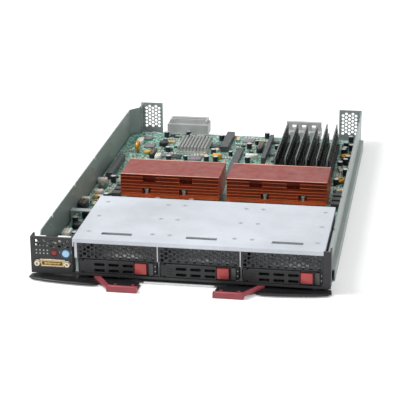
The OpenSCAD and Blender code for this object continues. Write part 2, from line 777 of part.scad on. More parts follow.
// Bar ahead of the lever, with a slanted band over the lever and a web under it
module grip() {
  web_y = -grip_reach + grip_bar + 14;
  band_z = lever_z + lever_t + run;
  translate([-grip_out, -grip_reach, grip_base]) cube([grip_w, grip_bar, grip_top - grip_base]);
  translate([0, 0, band_z])
    linear_extrude(grip_top - band_z)
      polygon([
        [-grip_out + 6, -grip_reach], [-grip_out, -grip_reach], [-grip_out - grip_slant - 3, 0],
        [-grip_out - grip_slant - 1, 2], [-grip_out - grip_slant + 3, 1], [-grip_out + 1, -grip_reach + grip_bar + 1],
        [-grip_out + 6, -grip_reach + grip_bar],
      ]);
  translate([-grip_out, -grip_reach, grip_base]) cube([grip_w, web_y + grip_reach, tray_t - grip_base]);
  stud_places() translate([0, 0, grip_base]) cylinder(r = stud_r, h = lever_z + lever_t - grip_base);
}

module lever_grip_left() color("#98454b") from_front() grip();

module lever_grip_right() color("#98454b") from_front() mirror([1, 0, 0]) grip();

// Main board

module main_board() color("#3f7f6c") from_front() {
  difference() {
    translate([0, 0, board_z])
      linear_extrude(board_t)
        polygon([
          [board_left, board_front - tongue_l], [tongue_right, board_front - tongue_l],
          [tongue_right, board_front], [board_right, board_front], [board_right, board_rear],
          [jog_x + tray_t + board_side, board_rear], [jog_x + tray_t + board_side, jog_y + jog_len - 2],
          [board_left, jog_y - 3],
        ]);
    board_screw_places() translate([0, 0, board_z - cut]) cylinder(r = 1.8, h = board_t + 2 * cut);
  }
}

module board_standoffs() color("#b9a36a") from_front() {
  board_screw_places() translate([0, 0, tray_t]) cylinder(r = 2.8, h = standoff_h, $fn = 6);
}

module processor_sockets() color("#d9d6c6") from_front() {
  outer = cpu_w + 2 * socket_frame;
  for (x = cpu_xs)
    translate([x, sink_y + sink_d / 2, board_top])
      difference() {
        translate([-outer / 2, -outer / 2, 0]) cube([outer, outer, socket_h]);
        translate([-cpu_w / 2 - run, -cpu_w / 2 - run, cpu_seat])
          cube([cpu_w + 2 * run, cpu_w + 2 * run, socket_h]);
      }
}

module processors() color("#b7bbbd") from_front() {
  lid_w = cpu_w - 2 * cpu_lid_in;
  for (x = cpu_xs)
    translate([x, sink_y + sink_d / 2, board_top + cpu_seat]) {
      translate([-cpu_w / 2, -cpu_w / 2, 0]) cube([cpu_w, cpu_w, cpu_board_t]);
      translate([-lid_w / 2, -lid_w / 2, cpu_board_t / 2]) cube([lid_w, lid_w, cpu_board_t / 2 + cpu_lid_t]);
    }
}

// Profile of a heat sink: a base with upright fins, as one closed outline
function comb_outline(base_h, top_h) = concat(
  [[0, 0], [sink_w, 0]],
  [for (i = [fins - 1:-1:0]) each [
    [i * fin_step + fin_t, top_h],
    [i * fin_step, top_h],
    if (i > 0) [i * fin_step, base_h],
    if (i > 0) [(i - 1) * fin_step + fin_t, base_h],
  ]]
);

module sink_screw_places() {
  for (x = [-sink_screw_x / 2, sink_screw_x / 2], y = [sink_screw_in, sink_screw_in + sink_screw_y])
    translate([x, y, 0]) children();
}

module heat_sink(side) color("#b5482e") from_front() translate([sink_xs[side] - sink_w / 2, sink_y, sink_z]) {
  height = sink_top - sink_z;
  difference() {
    union() {
      translate([0, sink_d, 0]) rotate([90, 0, 0])
        linear_extrude(sink_d) polygon(comb_outline(sink_base_t, height - sheet_t / 2));
      // Folded top edges of the fins, which close the sink above
      translate([0, 0, height - sheet_t]) cube([sink_w, sink_d, sheet_t]);
    }
    translate([cpu_xs[side] - sink_xs[side] + sink_w / 2, 0, 0]) sink_screw_places() {
      translate([0, 0, -cut]) cylinder(r = sink_shank_r + air, h = sink_base_t + 2 * cut);
      translate([-well_w / 2, -well_w / 2, sink_base_t]) cube([well_w, well_w, 7.5]);
    }
    for (x = window_xs, y = [-cut, sink_d - window_d])
      translate([sink_w / 2 + x - window_w / 2, y, height - window_drop - window_h])
        cube([window_w, window_d + cut, window_h]);
  }
}

module heat_sink_left() heat_sink(0);

module heat_sink_right() heat_sink(1);

module heat_sink_screws() color("#dcdedd") from_front() {
  turns = 4;
  step = (sink_screw_top - fin_z - 1.8) / turns;
  for (x = cpu_xs)
    translate([x, sink_y, 0]) sink_screw_places() {
      translate([0, 0, board_top]) cylinder(r = sink_shank_r, h = sink_screw_top - board_top);
      translate([0, 0, sink_screw_top - 1.8]) cylinder(r = sink_screw_head_r, h = 1.8);
      for (k = [0:turns - 1])
        translate([0, 0, fin_z + k * step]) cylinder(r = sink_screw_head_r - 0.6, h = step / 2);
    }
}

// Memory

module dimm_places() {
  for (k = [0:dimms - 1]) translate([dimm_x + k * dimm_pitch, dimm_y, 0]) children();
}

module memory_sockets() color("#1f2022") from_front() {
  half = dimm_socket_w / 2;
  end_y = dimm_end + latch_l;
  tower = dimm_end;
  dimm_places()
    difference() {
      union() {
        translate([-half, -dimm_end, board_top]) cube([dimm_socket_w, dimm_l + 2 * dimm_end, dimm_socket_h]);
        for (flip = [0, 1])
          translate([0, flip * dimm_l, 0]) mirror([0, flip, 0]) {
            translate([-half, -end_y, board_top]) cube([dimm_socket_w, latch_l, 0.6]);
            for (x = [-half, half - latch_cheek])
              translate([x, -end_y + 1.5, board_top]) cube([latch_cheek, latch_l - 1.5 + tower / 2, dimm_socket_h]);
          }
      }
      translate([-dimm_t / 2 - run, -dimm_end / 2 - cut, dimm_z])
        cube([dimm_t + 2 * run, dimm_l + dimm_end + 2 * cut, dimm_socket_h + dimm_tower_h]);
      translate([0, -dimm_end - latch_l / 2, latch_pin_z]) rotate([0, 90, 0])
        cylinder(r = latch_pin_r + fit_r, h = 2 * dimm_socket_w, center = true);
      translate([0, dimm_l + dimm_end + latch_l / 2, latch_pin_z]) rotate([0, 90, 0])
        cylinder(r = latch_pin_r + fit_r, h = 2 * dimm_socket_w, center = true);
    }
}

module memory_modules() color("#1a1b1d") from_front() {
  chips = 9;
  chip_l = 10.5;
  chip_h = 12;
  chip_t = 1.1;
  chip_step = (dimm_l - 12) / chips;
  dimm_places() {
    translate([-dimm_t / 2, 0, dimm_z]) cube([dimm_t, dimm_l, dimm_h]);
    for (k = [0:chips - 1])
      translate([-dimm_t / 2 - chip_t, 6 + (k + 0.5) * chip_step - chip_l / 2, dimm_z + dimm_h - chip_h - 4])
        cube([dimm_t + 2 * chip_t, chip_l, chip_h]);
  }
}

// Latch at the front end of socket k; it swings about a pin along X
module memory_latch(k, flip) color("#c9ccca") from_front()
  translate([dimm_x + k * dimm_pitch, dimm_y + flip * dimm_l, 0]) mirror([0, flip, 0]) {
    y = -dimm_end - latch_l / 2;
    arm_t = 3;
    nib_l = dimm_end - air;
    translate([-latch_w / 2, y - arm_t / 2, latch_pin_z - 1]) cube([latch_w, arm_t, latch_h]);
    translate([-latch_w / 2, y - arm_t / 2 - 1.5, latch_pin_z + latch_h - 3]) cube([latch_w, arm_t, 2]);
    translate([-dimm_socket_w / 2 + run, y, latch_pin_z]) rotate([0, 90, 0])
      cylinder(r = latch_pin_r, h = dimm_socket_w - 2 * run);
    translate([-latch_w / 2, y, latch_pin_z + latch_h - 5.5])
      cube([latch_w, -y - run - nib_l / 8, 3]);
  }

// Rear connectors and soldered parts

module signal_connector() color("#b4b6b4") from_front() {
  w = 50;
  h = 17;
  body_d = 23;
  guide_r = 2;
  translate([jog_x + bracket_w + 9, module_d - body_d, board_top])
    difference() {
      union() {
        cube([w, body_d, h - 4]);
        translate([2, 5, 0]) cube([w - 4, body_d - 5, h]);
      }
      translate([8, body_d - 8, 3]) cube([w - 16, 8 + cut, 3.6]);
      translate([8, body_d - 8, 9]) cube([w - 16, 8 + cut, 3.6]);
      for (x = [4, w - 4])
        translate([x, body_d + cut, h / 2]) rotate([90, 0, 0]) cylinder(r = guide_r, h = 10 + cut);
    }
}

// Low block with four posts and a bar across the tops of the posts
module power_connector() color("#c5c7c4") from_front() {
  posts = 4;
  post = 6.6;
  gap = 5.2;
  w = posts * post + (posts - 1) * gap;
  low_h = 9.4;
  post_h = 16;
  bar_h = 3.4;
  body_d = 23;
  bar_d = 5;
  translate([wall_x - bracket_w - 21 - w, module_d - body_d, board_top])
    difference() {
      union() {
        cube([w, body_d, low_h]);
        for (k = [0:posts - 1])
          translate([k * (post + gap), body_d / 2 - bar_d / 2, low_h - cut]) cube([post, bar_d, post_h - low_h + cut]);
        translate([0, body_d / 2 - bar_d / 2, post_h]) cube([w, bar_d, bar_h]);
      }
      for (k = [0:posts - 1])
        translate([k * (post + gap) + post / 2 - 1.2, body_d - 14, 2]) cube([2.4, 14 + cut, low_h - 4]);
    }
}

// Wound ring with its hole along Z, standing just above the board
module ring(x, y, r, wire_r) {
  translate([x, y, board_top + wire_r + run]) rotate_extrude() translate([r, 0]) circle(r = wire_r);
}

module power_inductors() color("#c79a4a") from_front() {
  ring_r = 4.7;
  wire_r = 2.3;
  ring(board_right - 9.8, dimm_y + 99.5, ring_r, wire_r);
  ring(board_right - 10.8, dimm_y + 16.5, ring_r, wire_r);
  ring(dimm_x - 75.2, dimm_y + 45.5, ring_r - 1.5, wire_r - 0.8);
  translate([board_left + 21.8, dimm_y + 91.5, board_top + ring_r + wire_r + run]) rotate([0, 90, 0])
    rotate_extrude() translate([ring_r, 0]) circle(r = wire_r);
}

module board_parts() color("#4a4d50") from_front() {
  block = 9;
  block_step = 14;
  slot_t = 9;
  // Tall slot connector along the left-hand wall
  translate([board_left + 6.8, dimm_y - 11.5, board_top]) cube([7, 70, 8]);
  // Slot connectors ahead of the signal connector
  translate([dimm_x - 77.2, board_rear - 67, board_top]) cube([slot_t, 60, 7]);
  translate([dimm_x - 24.2, board_rear - 103, board_top]) cube([slot_t / 2, 91, 7]);
  translate([dimm_x - 58, dimm_y + 6, board_top]) cube([slot_t - 1, 103, 4]);
  // Voltage regulator blocks beside the heat sinks
  for (k = [0:2]) {
    translate([sink_right + 3.7, sink_y + 7 + k * block_step, board_top]) cube([block, block, 5]);
    translate([sink_xs[0] - sink_w / 2 - 12.5, sink_y + block + k * block_step, board_top]) cube([block, block, 5]);
  }
  // Small plug-in board on two connectors, beside the drive cage
  translate([tongue_right - 14, board_front - tongue_l + 1, 18.4]) cube([13, 37, board_t]);
  for (y = [2, 30])
    translate([tongue_right - 13, board_front - tongue_l + y, board_top]) cube([11, 6, 18.4 - board_top + cut / 2]);
}

module chipset_cooler() color("#b9bcb6") from_front() {
  plate_w = 36;
  plate_d = 50;
  pin = 2;
  pin_step = 4;
  translate([dimm_x - 128.2, dimm_y + 92.5, board_top]) {
    cube([plate_w, plate_d, 2.2]);
    for (x = [1:pin_step:plate_w - pin], y = [2:pin_step:plate_d - pin]) translate([x, y, 2]) cube([pin, pin, 6]);
  }
}

module channel_bridge() color("#9a989c") from_front() {
  top_z = 20;
  y = board_front + 5;
  leg = 1;
  depth = 8;
  reach = tongue_right - board_left;
  translate([board_left, y, top_z - leg]) cube([reach, depth, leg]);
  for (x = [board_left, tongue_right - leg])
    translate([x, y, board_top]) cube([leg, depth, top_z - board_top]);
}

chassis_tray();
rear_bracket_left();
rear_bracket_right();
drive_cage();
cage_cover();
case_screws();
front_bezel();
bay_frame();
vent_grilles();
carrier(0);  // drive_carrier_1
carrier(1);  // drive_carrier_2
carrier(2);  // drive_carrier_3
drive(0);  // drive_1
drive(1);  // drive_2
drive(2);  // drive_3
handle(0);  // carrier_handle_1
handle(1);  // carrier_handle_2
handle(2);  // carrier_handle_3
release_button(0);  // release_button_1
release_button(1);  // release_button_2
release_button(2);  // release_button_3
drive_backplane();
backplane_sockets();
control_board();
power_button();
monitor_button();
status_lights();
console_connector();
jack_screws();
ejector_lever_left();
ejector_lever_right();
lever_grip_left();
lever_grip_right();
main_board();
board_standoffs();
processor_sockets();
processors();
heat_sink_left();
heat_sink_right();
heat_sink_screws();
memory_sockets();
memory_modules();
memory_latch(0, 0);  // front_latch_1
memory_latch(1, 0);  // front_latch_2
memory_latch(2, 0);  // front_latch_3
memory_latch(3, 0);  // front_latch_4
memory_latch(4, 0);  // front_latch_5
memory_latch(5, 0);  // front_latch_6
memory_latch(0, 1);  // rear_latch_1
memory_latch(1, 1);  // rear_latch_2
memory_latch(2, 1);  // rear_latch_3
memory_latch(3, 1);  // rear_latch_4
memory_latch(4, 1);  // rear_latch_5
memory_latch(5, 1);  // rear_latch_6
signal_connector();
power_connector();
power_inductors();
board_parts();
chipset_cooler();
channel_bridge();
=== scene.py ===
"""Looks of an open blade server module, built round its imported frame.

Metres, +X to the right seen from the front, +Y to the rear, +Z up, origin under the middle of the
module. Every shape is a surface of two parameters, or a profile carried along a path, worked out with
numpy as whole arrays. Colours are written as a screen shows them and turned to linear by tone().
"""

import json
import math

import bpy
import numpy as np
from mathutils import Matrix, Vector


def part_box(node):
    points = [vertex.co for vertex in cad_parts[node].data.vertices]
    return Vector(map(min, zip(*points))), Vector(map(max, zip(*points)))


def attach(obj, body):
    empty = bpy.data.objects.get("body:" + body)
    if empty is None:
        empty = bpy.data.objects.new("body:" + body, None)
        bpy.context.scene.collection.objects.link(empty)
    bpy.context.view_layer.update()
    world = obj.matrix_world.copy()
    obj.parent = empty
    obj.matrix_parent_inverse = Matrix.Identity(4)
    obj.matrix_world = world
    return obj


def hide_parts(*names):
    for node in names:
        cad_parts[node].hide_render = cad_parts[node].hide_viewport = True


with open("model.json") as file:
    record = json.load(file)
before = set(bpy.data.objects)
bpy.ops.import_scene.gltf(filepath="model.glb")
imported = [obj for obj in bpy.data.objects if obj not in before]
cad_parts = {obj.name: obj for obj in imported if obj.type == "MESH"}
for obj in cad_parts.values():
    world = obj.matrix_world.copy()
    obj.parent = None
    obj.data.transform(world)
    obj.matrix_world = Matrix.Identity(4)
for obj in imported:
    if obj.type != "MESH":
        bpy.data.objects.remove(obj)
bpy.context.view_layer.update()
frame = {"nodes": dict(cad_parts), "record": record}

MM = 0.001
EDGE = 0.25 * MM
LEFT, RIGHT = -1, 1
bays = range(1, 4)
rng = np.random.default_rng(17)


def box(node):
    """Lowest and highest corner of a node at rest, as numpy arrays."""
    low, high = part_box(node)
    return np.array(low), np.array(high)


board_low, board_high = box("main_board")
board_top = board_high[2]
cover_low, cover_high = box("cage_cover")
bezel_low, bezel_high = box("front_bezel")
front = bezel_low[1]
tray_low, tray_high = box("chassis_tray")
slots = {m["slot"]: m for m in frame["record"]["materials"]}
slot_of = {s["node"]: s["material_slot"] for s in frame["record"]["subparts"]}

# ---------------------------------------------------------------- surfaces


def grid_quads(rows, columns, wrap_rows=False, wrap_columns=False):
    """Quads of a grid of points numbered row by row; a wrapped side joins its last line to its first."""
    i = np.arange(rows if wrap_rows else rows - 1)[:, None]
    j = np.arange(columns if wrap_columns else columns - 1)[None, :]
    i2, j2 = (i + 1) % rows, (j + 1) % columns
    quads = np.stack(np.broadcast_arrays(i * columns + j, i * columns + j2, i2 * columns + j2, i2 * columns + j), -1)
    return quads.reshape(-1, 4)


def join(shapes):
    """One shape from several: points stacked, and the faces of each renumbered by the points before it."""
    points, faces, start = [], [], 0
    for p, fs in shapes:
        points.append(p)
        faces += [f + start for f in fs]
        start += len(p)
    return np.concatenate(points), faces


def repeat(shape, places):
    """The shape moved to each of the places, as one shape: point (n, k) is place n plus point k."""
    points, faces = shape
    places = np.asarray(places, float).reshape(-1, 3)
    step = np.arange(len(places))[:, None, None] * len(points)
    moved = (places[:, None, :] + points[None, :, :]).reshape(-1, 3)
    return moved, [(f[None, :, :] + step).reshape(-1, f.shape[1]) for f in faces]


def turned(shape, axis, angle):
    """The shape turned about an axis through the origin, by an angle in degrees."""
    turn = np.array(Matrix.Rotation(math.radians(angle), 3, axis))
    return shape[0] @ turn.T, shape[1]


def moved(shape, offset):
    return shape[0] + np.asarray(offset, float), shape[1]


def mirrored(shape):
    """The shape reflected in the plane x = 0, with each face's order turned round so it still faces out."""
    return shape[0] * [-1, 1, 1], [f[:, ::-1] for f in shape[1]]


def blocks(bases, sizes, edge=0.15 * MM):
    """Blocks with a bevelled top. Three rings of four corners each: full at the foot and under the
    bevel, and drawn in by the bevel's width at the top. bases are the middles of the feet."""
    bases, sizes = np.atleast_2d(bases).astype(float), np.atleast_2d(sizes).astype(float)
    corner = np.array([[-1, -1], [1, -1], [1, 1], [-1, 1]]) / 2
    inset = np.array([0, 0, 2])[None, :, None] * edge
    drop = np.array([0, edge, 0])[None, :]
    height = sizes[:, 2:3] * np.array([[0, 1, 1]]) - drop
    flat = (sizes[:, None, None, :2] - inset[..., None]) * corner[None, None]
    points = np.concatenate([flat, np.broadcast_to(height[:, :, None, None], flat.shape[:3] + (1,))], -1)
    points = points + bases[:, None, None, :]
    one = np.concatenate([grid_quads(3, 4, wrap_columns=True), [[3, 2, 1, 0], [8, 9, 10, 11]]])
    quads = (one[None] + np.arange(len(bases))[:, None, None] * 12).reshape(-1, 4)
    return points.reshape(-1, 3), [quads]


def lathe(profile, sides=24):
    """A profile of (radius, height) pairs turned about Z; each end closes with one flat face."""
    profile = np.asarray(profile, float)
    angle = np.linspace(0, 2 * math.pi, sides, endpoint=False)
    ring = np.stack([np.cos(angle), np.sin(angle)], -1)
    flat = profile[:, None, :1] * ring[None]
    points = np.concatenate([flat, np.broadcast_to(profile[:, None, 1:], flat.shape[:2] + (1,))], -1)
    rows = len(profile)
    ends = [np.arange(sides)[::-1][None], np.arange(sides)[None] + (rows - 1) * sides]
    return points.reshape(-1, 3), [grid_quads(rows, sides, wrap_columns=True), *ends]


def circle(radius, sides=8):
    angle = np.linspace(0, 2 * math.pi, sides, endpoint=False)
    return np.stack([radius * np.cos(angle), radius * np.sin(angle)], -1)


def sweep(path, profile, closed=False, up=(0, 0, 1)):
    """A closed profile carried along a path. At each point of the path the profile's first axis is the
    tangent crossed with the up direction, and its second is that axis crossed with the tangent."""
    path, profile = np.asarray(path, float), np.asarray(profile, float)
    ahead, behind = np.roll(path, -1, 0), np.roll(path, 1, 0)
    if not closed:
        ahead[-1], behind[0] = path[-1], path[0]
    tangent = ahead - behind
    tangent /= np.linalg.norm(tangent, axis=1, keepdims=True)
    side = np.cross(tangent, np.broadcast_to(np.asarray(up, float), tangent.shape))
    side /= np.linalg.norm(side, axis=1, keepdims=True)
    over = np.cross(side, tangent)
    points = path[:, None] + side[:, None] * profile[None, :, :1] + over[:, None] * profile[None, :, 1:]
    rows, columns = len(path), len(profile)
    faces = [grid_quads(rows, columns, wrap_rows=closed, wrap_columns=True)[:, ::-1]]
    if not closed:
        faces += [np.arange(columns)[None], np.arange(columns)[None, ::-1] + (rows - 1) * columns]
    return points.reshape(-1, 3), faces


def rounded_plate(width, depth, height, corner, edge, steps=4):
    """A plate with rounded corners and a bevelled top edge, middle of its foot at the origin. Its
    outline is a rectangle's four corner points, each with a quarter circle round it, and three such
    rings stand above each other."""
    quarter = np.linspace(0, math.pi / 2, steps)
    angle = (quarter[None] + np.arange(4)[:, None] * math.pi / 2).ravel()
    middle = np.repeat([[1, 1], [-1, 1], [-1, -1], [1, -1]], steps, 0)
    half = np.array([width, depth]) / 2
    rings = []
    for z, inset in ((0, 0), (height - edge, 0), (height, edge)):
        r = max(corner - inset, edge / 4)
        flat = middle * (half - inset - r) + r * np.stack([np.cos(angle), np.sin(angle)], -1)
        rings.append(np.column_stack([flat, np.full(len(flat), z)]))
    n = len(angle)
    return np.concatenate(rings), [grid_quads(3, n, wrap_columns=True), np.arange(n)[None, ::-1], np.arange(n)[None] + 2 * n]


def put(name, shape, finish, body="chassis", smooth=0, replaces=()):
    """Puts a shape into the scene as a piece that rides on a body and has a finish."""
    points, faces = shape
    mesh = bpy.data.meshes.new(name)
    totals = np.concatenate([np.full(len(f), f.shape[1]) for f in faces])
    loops = np.concatenate([f.ravel() for f in faces])
    mesh.vertices.add(len(points))
    mesh.vertices.foreach_set("co", points.astype(np.float32).ravel())
    mesh.loops.add(len(loops))
    mesh.loops.foreach_set("vertex_index", loops.astype(np.int32))
    mesh.polygons.add(len(totals))
    mesh.polygons.foreach_set("loop_start", (np.cumsum(totals) - totals).astype(np.int32))
    mesh.polygons.foreach_set("loop_total", totals.astype(np.int32))
    mesh.update(calc_edges=True)
    mesh.validate()
    if smooth:
        mesh.polygons.foreach_set("use_smooth", np.ones(len(totals), bool))
        mesh.set_sharp_from_angle(angle=math.radians(smooth))
    piece = bpy.data.objects.new(name, mesh)
    bpy.context.scene.collection.objects.link(piece)
    mesh.materials.append(finish[0])
    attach(piece, body)
    if replaces:
        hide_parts(*replaces)
    return piece


# ---------------------------------------------------------------- finishes


def tone(r, g, b):
    """A screen colour as linear light: the sRGB curve on each channel."""
    c = np.array([r, g, b], float)
    linear = np.where(c <= 0.04045, c / 12.92, ((c + 0.055) / 1.055) ** 2.4)
    return (*linear.tolist(), 1.0)


class Finish:
    """A material on Object coordinates, with small helpers that add and join its nodes."""

    def __init__(self, name, metallic=0.0, roughness=0.5, specular=0.5):
        self.material = bpy.data.materials.new(name)
        self.material.use_nodes = True
        self.tree = self.material.node_tree
        self.tree.nodes.clear()
        self.shader = self.add("ShaderNodeBsdfPrincipled")
        self.shader.inputs["Metallic"].default_value = metallic
        self.shader.inputs["Roughness"].default_value = roughness
        self.shader.inputs["Specular IOR Level"].default_value = specular
        output = self.add("ShaderNodeOutputMaterial")
        self.join(self.shader.outputs["BSDF"], output.inputs["Surface"])
        self.place = self.add("ShaderNodeTexCoord").outputs["Object"]

    def add(self, kind, **settings):
        node = self.tree.nodes.new(kind)
        for key, value in settings.items():
            setattr(node, key, value)
        return node

    def join(self, source, target):
        self.tree.links.new(source, target)

    def stretch(self, scale):
        """The place of a point, times a scale on each axis."""
        node = self.add("ShaderNodeMapping")
        self.join(self.place, node.inputs["Vector"])
        node.inputs["Scale"].default_value = scale
        return node.outputs["Vector"]

    def noise(self, scale, detail=3.0, roughness=0.55, vector=None):
        node = self.add("ShaderNodeTexNoise")
        self.join(vector or self.place, node.inputs["Vector"])
        node.inputs["Scale"].default_value = scale
        node.inputs["Detail"].default_value = detail
        node.inputs["Roughness"].default_value = roughness
        return node.outputs["Fac"]

    def cells(self, scale, feature="F1", output="Color", vector=None):
        node = self.add("ShaderNodeTexVoronoi", feature=feature)
        self.join(vector or self.place, node.inputs["Vector"])
        node.inputs["Scale"].default_value = scale
        return node.outputs[output]

    def ramp(self, value, stops):
        """A colour for each value: stops are (value, colour) pairs."""
        node = self.add("ShaderNodeValToRGB")
        self.join(value, node.inputs["Fac"])
        elements = node.color_ramp.elements
        while len(elements) < len(stops):
            elements.new(0.5)
        for element, (place, colour) in zip(elements, stops):
            element.position = place
            element.color = colour
        return node.outputs["Color"]

    def spread(self, value, low, high, start=0.0, end=1.0):
        """A value between start and end brought to the range low to high."""
        node = self.add("ShaderNodeMapRange")
        self.join(value, node.inputs["Value"])
        for name, number in (("From Min", start), ("From Max", end), ("To Min", low), ("To Max", high)):
            node.inputs[name].default_value = number
        return node.outputs["Result"]

    def blend(self, value, first, second, mode="MIX"):
        node = self.add("ShaderNodeMix", data_type="RGBA", blend_type=mode)
        if hasattr(value, "links"):
            self.join(value, node.inputs["Factor"])
        else:
            node.inputs["Factor"].default_value = value
        for side, name in ((first, "A"), (second, "B")):
            socket = [s for s in node.inputs if s.name == name and s.type == "RGBA"][0]
            if hasattr(side, "links"):
                self.join(side, socket)
            else:
                socket.default_value = side
        return [s for s in node.outputs if s.type == "RGBA"][0]

    def colour(self, source):
        socket = self.shader.inputs["Base Color"]
        if hasattr(source, "links"):
            self.join(source, socket)
        else:
            socket.default_value = source

    def roughness(self, source):
        self.join(source, self.shader.inputs["Roughness"])

    def bump(self, height, strength=0.2, distance=0.1 * MM):
        """Relief over softened edges: the bevel turns the light round each corner as a real edge does."""
        node = self.add("ShaderNodeBump")
        self.join(height, node.inputs["Height"])
        node.inputs["Strength"].default_value = strength
        node.inputs["Distance"].default_value = distance
        soft = self.add("ShaderNodeBevel", samples=4)
        soft.inputs["Radius"].default_value = EDGE
        self.join(soft.outputs["Normal"], node.inputs["Normal"])
        self.join(node.outputs["Normal"], self.shader.inputs["Normal"])


def sheet_metal(name, slot, colour, metallic=0.55, roughness=0.42, grain=(60, 4, 60), spangle=0.05):
    """Plated sheet: large soft clouds, a fine rolled grain along Y and faint crystal spangle."""
    f = Finish(name, metallic, roughness)
    clouds = f.noise(14, 4)
    dark = tone(*(c * 0.93 for c in colour))
    light = tone(*(min(c * 1.05, 1) for c in colour))
    base = f.ramp(clouds, [(0.3, dark), (0.7, light)])
    crystals = f.spread(f.cells(260, output="Distance"), 1 - spangle, 1 + spangle)
    shade = f.blend(1.0, base, crystals, "MULTIPLY")
    f.colour(shade)
    rolled = f.noise(40, 3, vector=f.stretch(grain))
    f.roughness(f.spread(rolled, roughness - 0.07, roughness + 0.1, 0.3, 0.7))
    f.bump(rolled, 0.12, 0.05 * MM)
    return f.material, slot


def moulded(name, slot, colour, roughness=0.5, texture=2200, depth=0.15, wear=0.06, specular=0.45):
    """Moulded plastic: faint clouding and a fine pebbled surface."""
    f = Finish(name, 0.0, roughness, specular)
    clouds = f.noise(55, 4)
    dark = tone(*(c * (1 - wear) for c in colour))
    light = tone(*(min(c * (1 + wear), 1) for c in colour))
    f.colour(f.ramp(clouds, [(0.32, dark), (0.68, light)]))
    f.roughness(f.spread(f.noise(160, 3), roughness - 0.06, roughness + 0.08, 0.3, 0.7))
    f.bump(f.noise(texture, 2), depth, 0.04 * MM)
    return f.material, slot


def plain_metal(name, slot, colour, roughness=0.3, metallic=0.9):
    """Turned or plated metal with fine scratches."""
    f = Finish(name, metallic, roughness)
    dark = tone(*(c * 0.9 for c in colour))
    f.colour(f.ramp(f.noise(300, 3), [(0.3, dark), (0.7, tone(*colour))]))
    f.roughness(f.spread(f.noise(900, 2), roughness - 0.08, roughness + 0.12, 0.3, 0.7))
    return f.material, slot


def copper(name, slot, top, foot, low, high, lines):
    """Bare copper sheet. The colour runs from the top tone down to the foot tone between the heights low and high:
    the darker top is painted shade and the brighter foot is painted light, as from a lamp in front. It is streaked
    along the fins, with fine dark joints between them at the given pitch."""
    f = Finish(name, 0.35, 0.38)
    parts = f.add("ShaderNodeSeparateXYZ")
    f.join(f.place, parts.inputs["Vector"])
    height = f.spread(parts.outputs["Z"], 0, 1, low, high)
    # Painted light and shade: dark at the top of the sink, bright at its foot
    body = f.ramp(height, [(0.0, tone(*foot)), (0.62, tone(*(0.5 * (a + b) for a, b in zip(top, foot)))), (1.0, tone(*top))])
    streaks = f.spread(f.noise(30, 4, vector=f.stretch((90, 3, 3))), 0.82, 1.16, 0.25, 0.75)
    body = f.blend(1.0, body, streaks, "MULTIPLY")
    stains = f.spread(f.noise(42, 5), 0.0, 0.38, 0.5, 0.72)
    f.colour(f.blend(stains, body, tone(0.33, 0.15, 0.10)))
    joints = f.add("ShaderNodeTexWave", wave_type="BANDS", bands_direction="X", wave_profile="SIN")
    f.join(f.place, joints.inputs["Vector"])
    joints.inputs["Scale"].default_value = math.pi / lines / 10 * 2
    f.bump(joints.outputs["Fac"], 0.25, 0.1 * MM)
    f.roughness(f.spread(f.noise(120, 3), 0.3, 0.5, 0.3, 0.7))
    return f.material, slot


def circuit_board(name, slot, colour, busy=1.0):
    """Solder mask over copper: tracks as raised lines, pale pads and dots of several sizes, and darker
    blotches, denser where busy is high."""
    f = Finish(name, 0.0, 0.34, 0.5)
    clouds = f.ramp(f.noise(24, 3), [(0.3, tone(*(c * 0.8 for c in colour))), (0.7, tone(*(min(1, c * 1.15) for c in colour)))])
    tracks = f.cells(240, feature="DISTANCE_TO_EDGE", output="Distance", vector=f.stretch((1, 0.35, 1)))
    track = f.spread(tracks, 1, 0, 0.0, 0.10)
    body = f.blend(track, clouds, tone(*(min(1, c * 1.5) for c in colour)))
    grains = f.cells(520, output="Color")
    split = f.add("ShaderNodeSeparateColor")
    f.join(grains, split.inputs["Color"])
    pads = f.spread(split.outputs["Red"], 0, busy, 0.80, 0.83)
    body = f.blend(pads, body, tone(0.80, 0.86, 0.82))
    dark = f.spread(split.outputs["Green"], 0, 0.75 * busy, 0.86, 0.88)
    body = f.blend(dark, body, tone(0.12, 0.20, 0.18))
    f.colour(body)
    f.bump(tracks, 0.3, 0.06 * MM)
    return f.material, slot


galvanised = sheet_metal("galvanised_sheet", "tray_steel", (0.60, 0.64, 0.63))
bracket = sheet_metal("bracket_sheet", "bracket_steel", (0.66, 0.70, 0.70))
cage = sheet_metal("cage_sheet", "cage_steel", (0.76, 0.78, 0.80))
cover = sheet_metal("cover_sheet", "cover_steel", (0.79, 0.81, 0.84), metallic=0.3, roughness=0.5, spangle=0.02)
bright_screw = plain_metal("bright_screw", "screw_steel", (0.84, 0.85, 0.86), 0.22)
charcoal = moulded("charcoal_bezel", "bezel_plastic", (0.17, 0.17, 0.18), 0.48)
grille_coat = moulded("grille_coat", "black_steel", (0.16, 0.16, 0.17), 0.4, texture=1400)
tray_black = moulded("carrier_black", "carrier_plastic", (0.13, 0.13, 0.14), 0.42)
drive_metal = sheet_metal("drive_casting", "drive_metal", (0.74, 0.76, 0.78), roughness=0.35)
key_red = moulded("key_red", "button_red", (0.60, 0.22, 0.22), 0.4)
power_red = moulded("power_red", "power_red", (0.50, 0.17, 0.18), 0.3)
key_blue = moulded("key_blue", "monitor_blue", (0.66, 0.82, 0.92), 0.3)
light_clear = moulded("lamp_clear", "light_clear", (0.70, 0.71, 0.70), 0.25)
board_green = circuit_board("board_green", "board_green", (0.27, 0.50, 0.43))
contact_black = moulded("socket_black", "socket_black", (0.12, 0.12, 0.13), 0.45)
shell_gold = plain_metal("shell_gold", "connector_shell", (0.83, 0.74, 0.55), 0.28)
jack_cream = plain_metal("jack_plate", "jack_metal", (0.88, 0.84, 0.74), 0.3)
lever_black = moulded("lever_black", "lever_black", (0.12, 0.12, 0.13), 0.36, texture=1200)
grip_red = moulded("grip_burgundy", "grip_red", (0.60, 0.27, 0.30), 0.42)
# A lighter copy of the burgundy, used as a painted highlight
grip_highlight = moulded("grip_highlight", "grip_red", (0.74, 0.42, 0.44), 0.42)
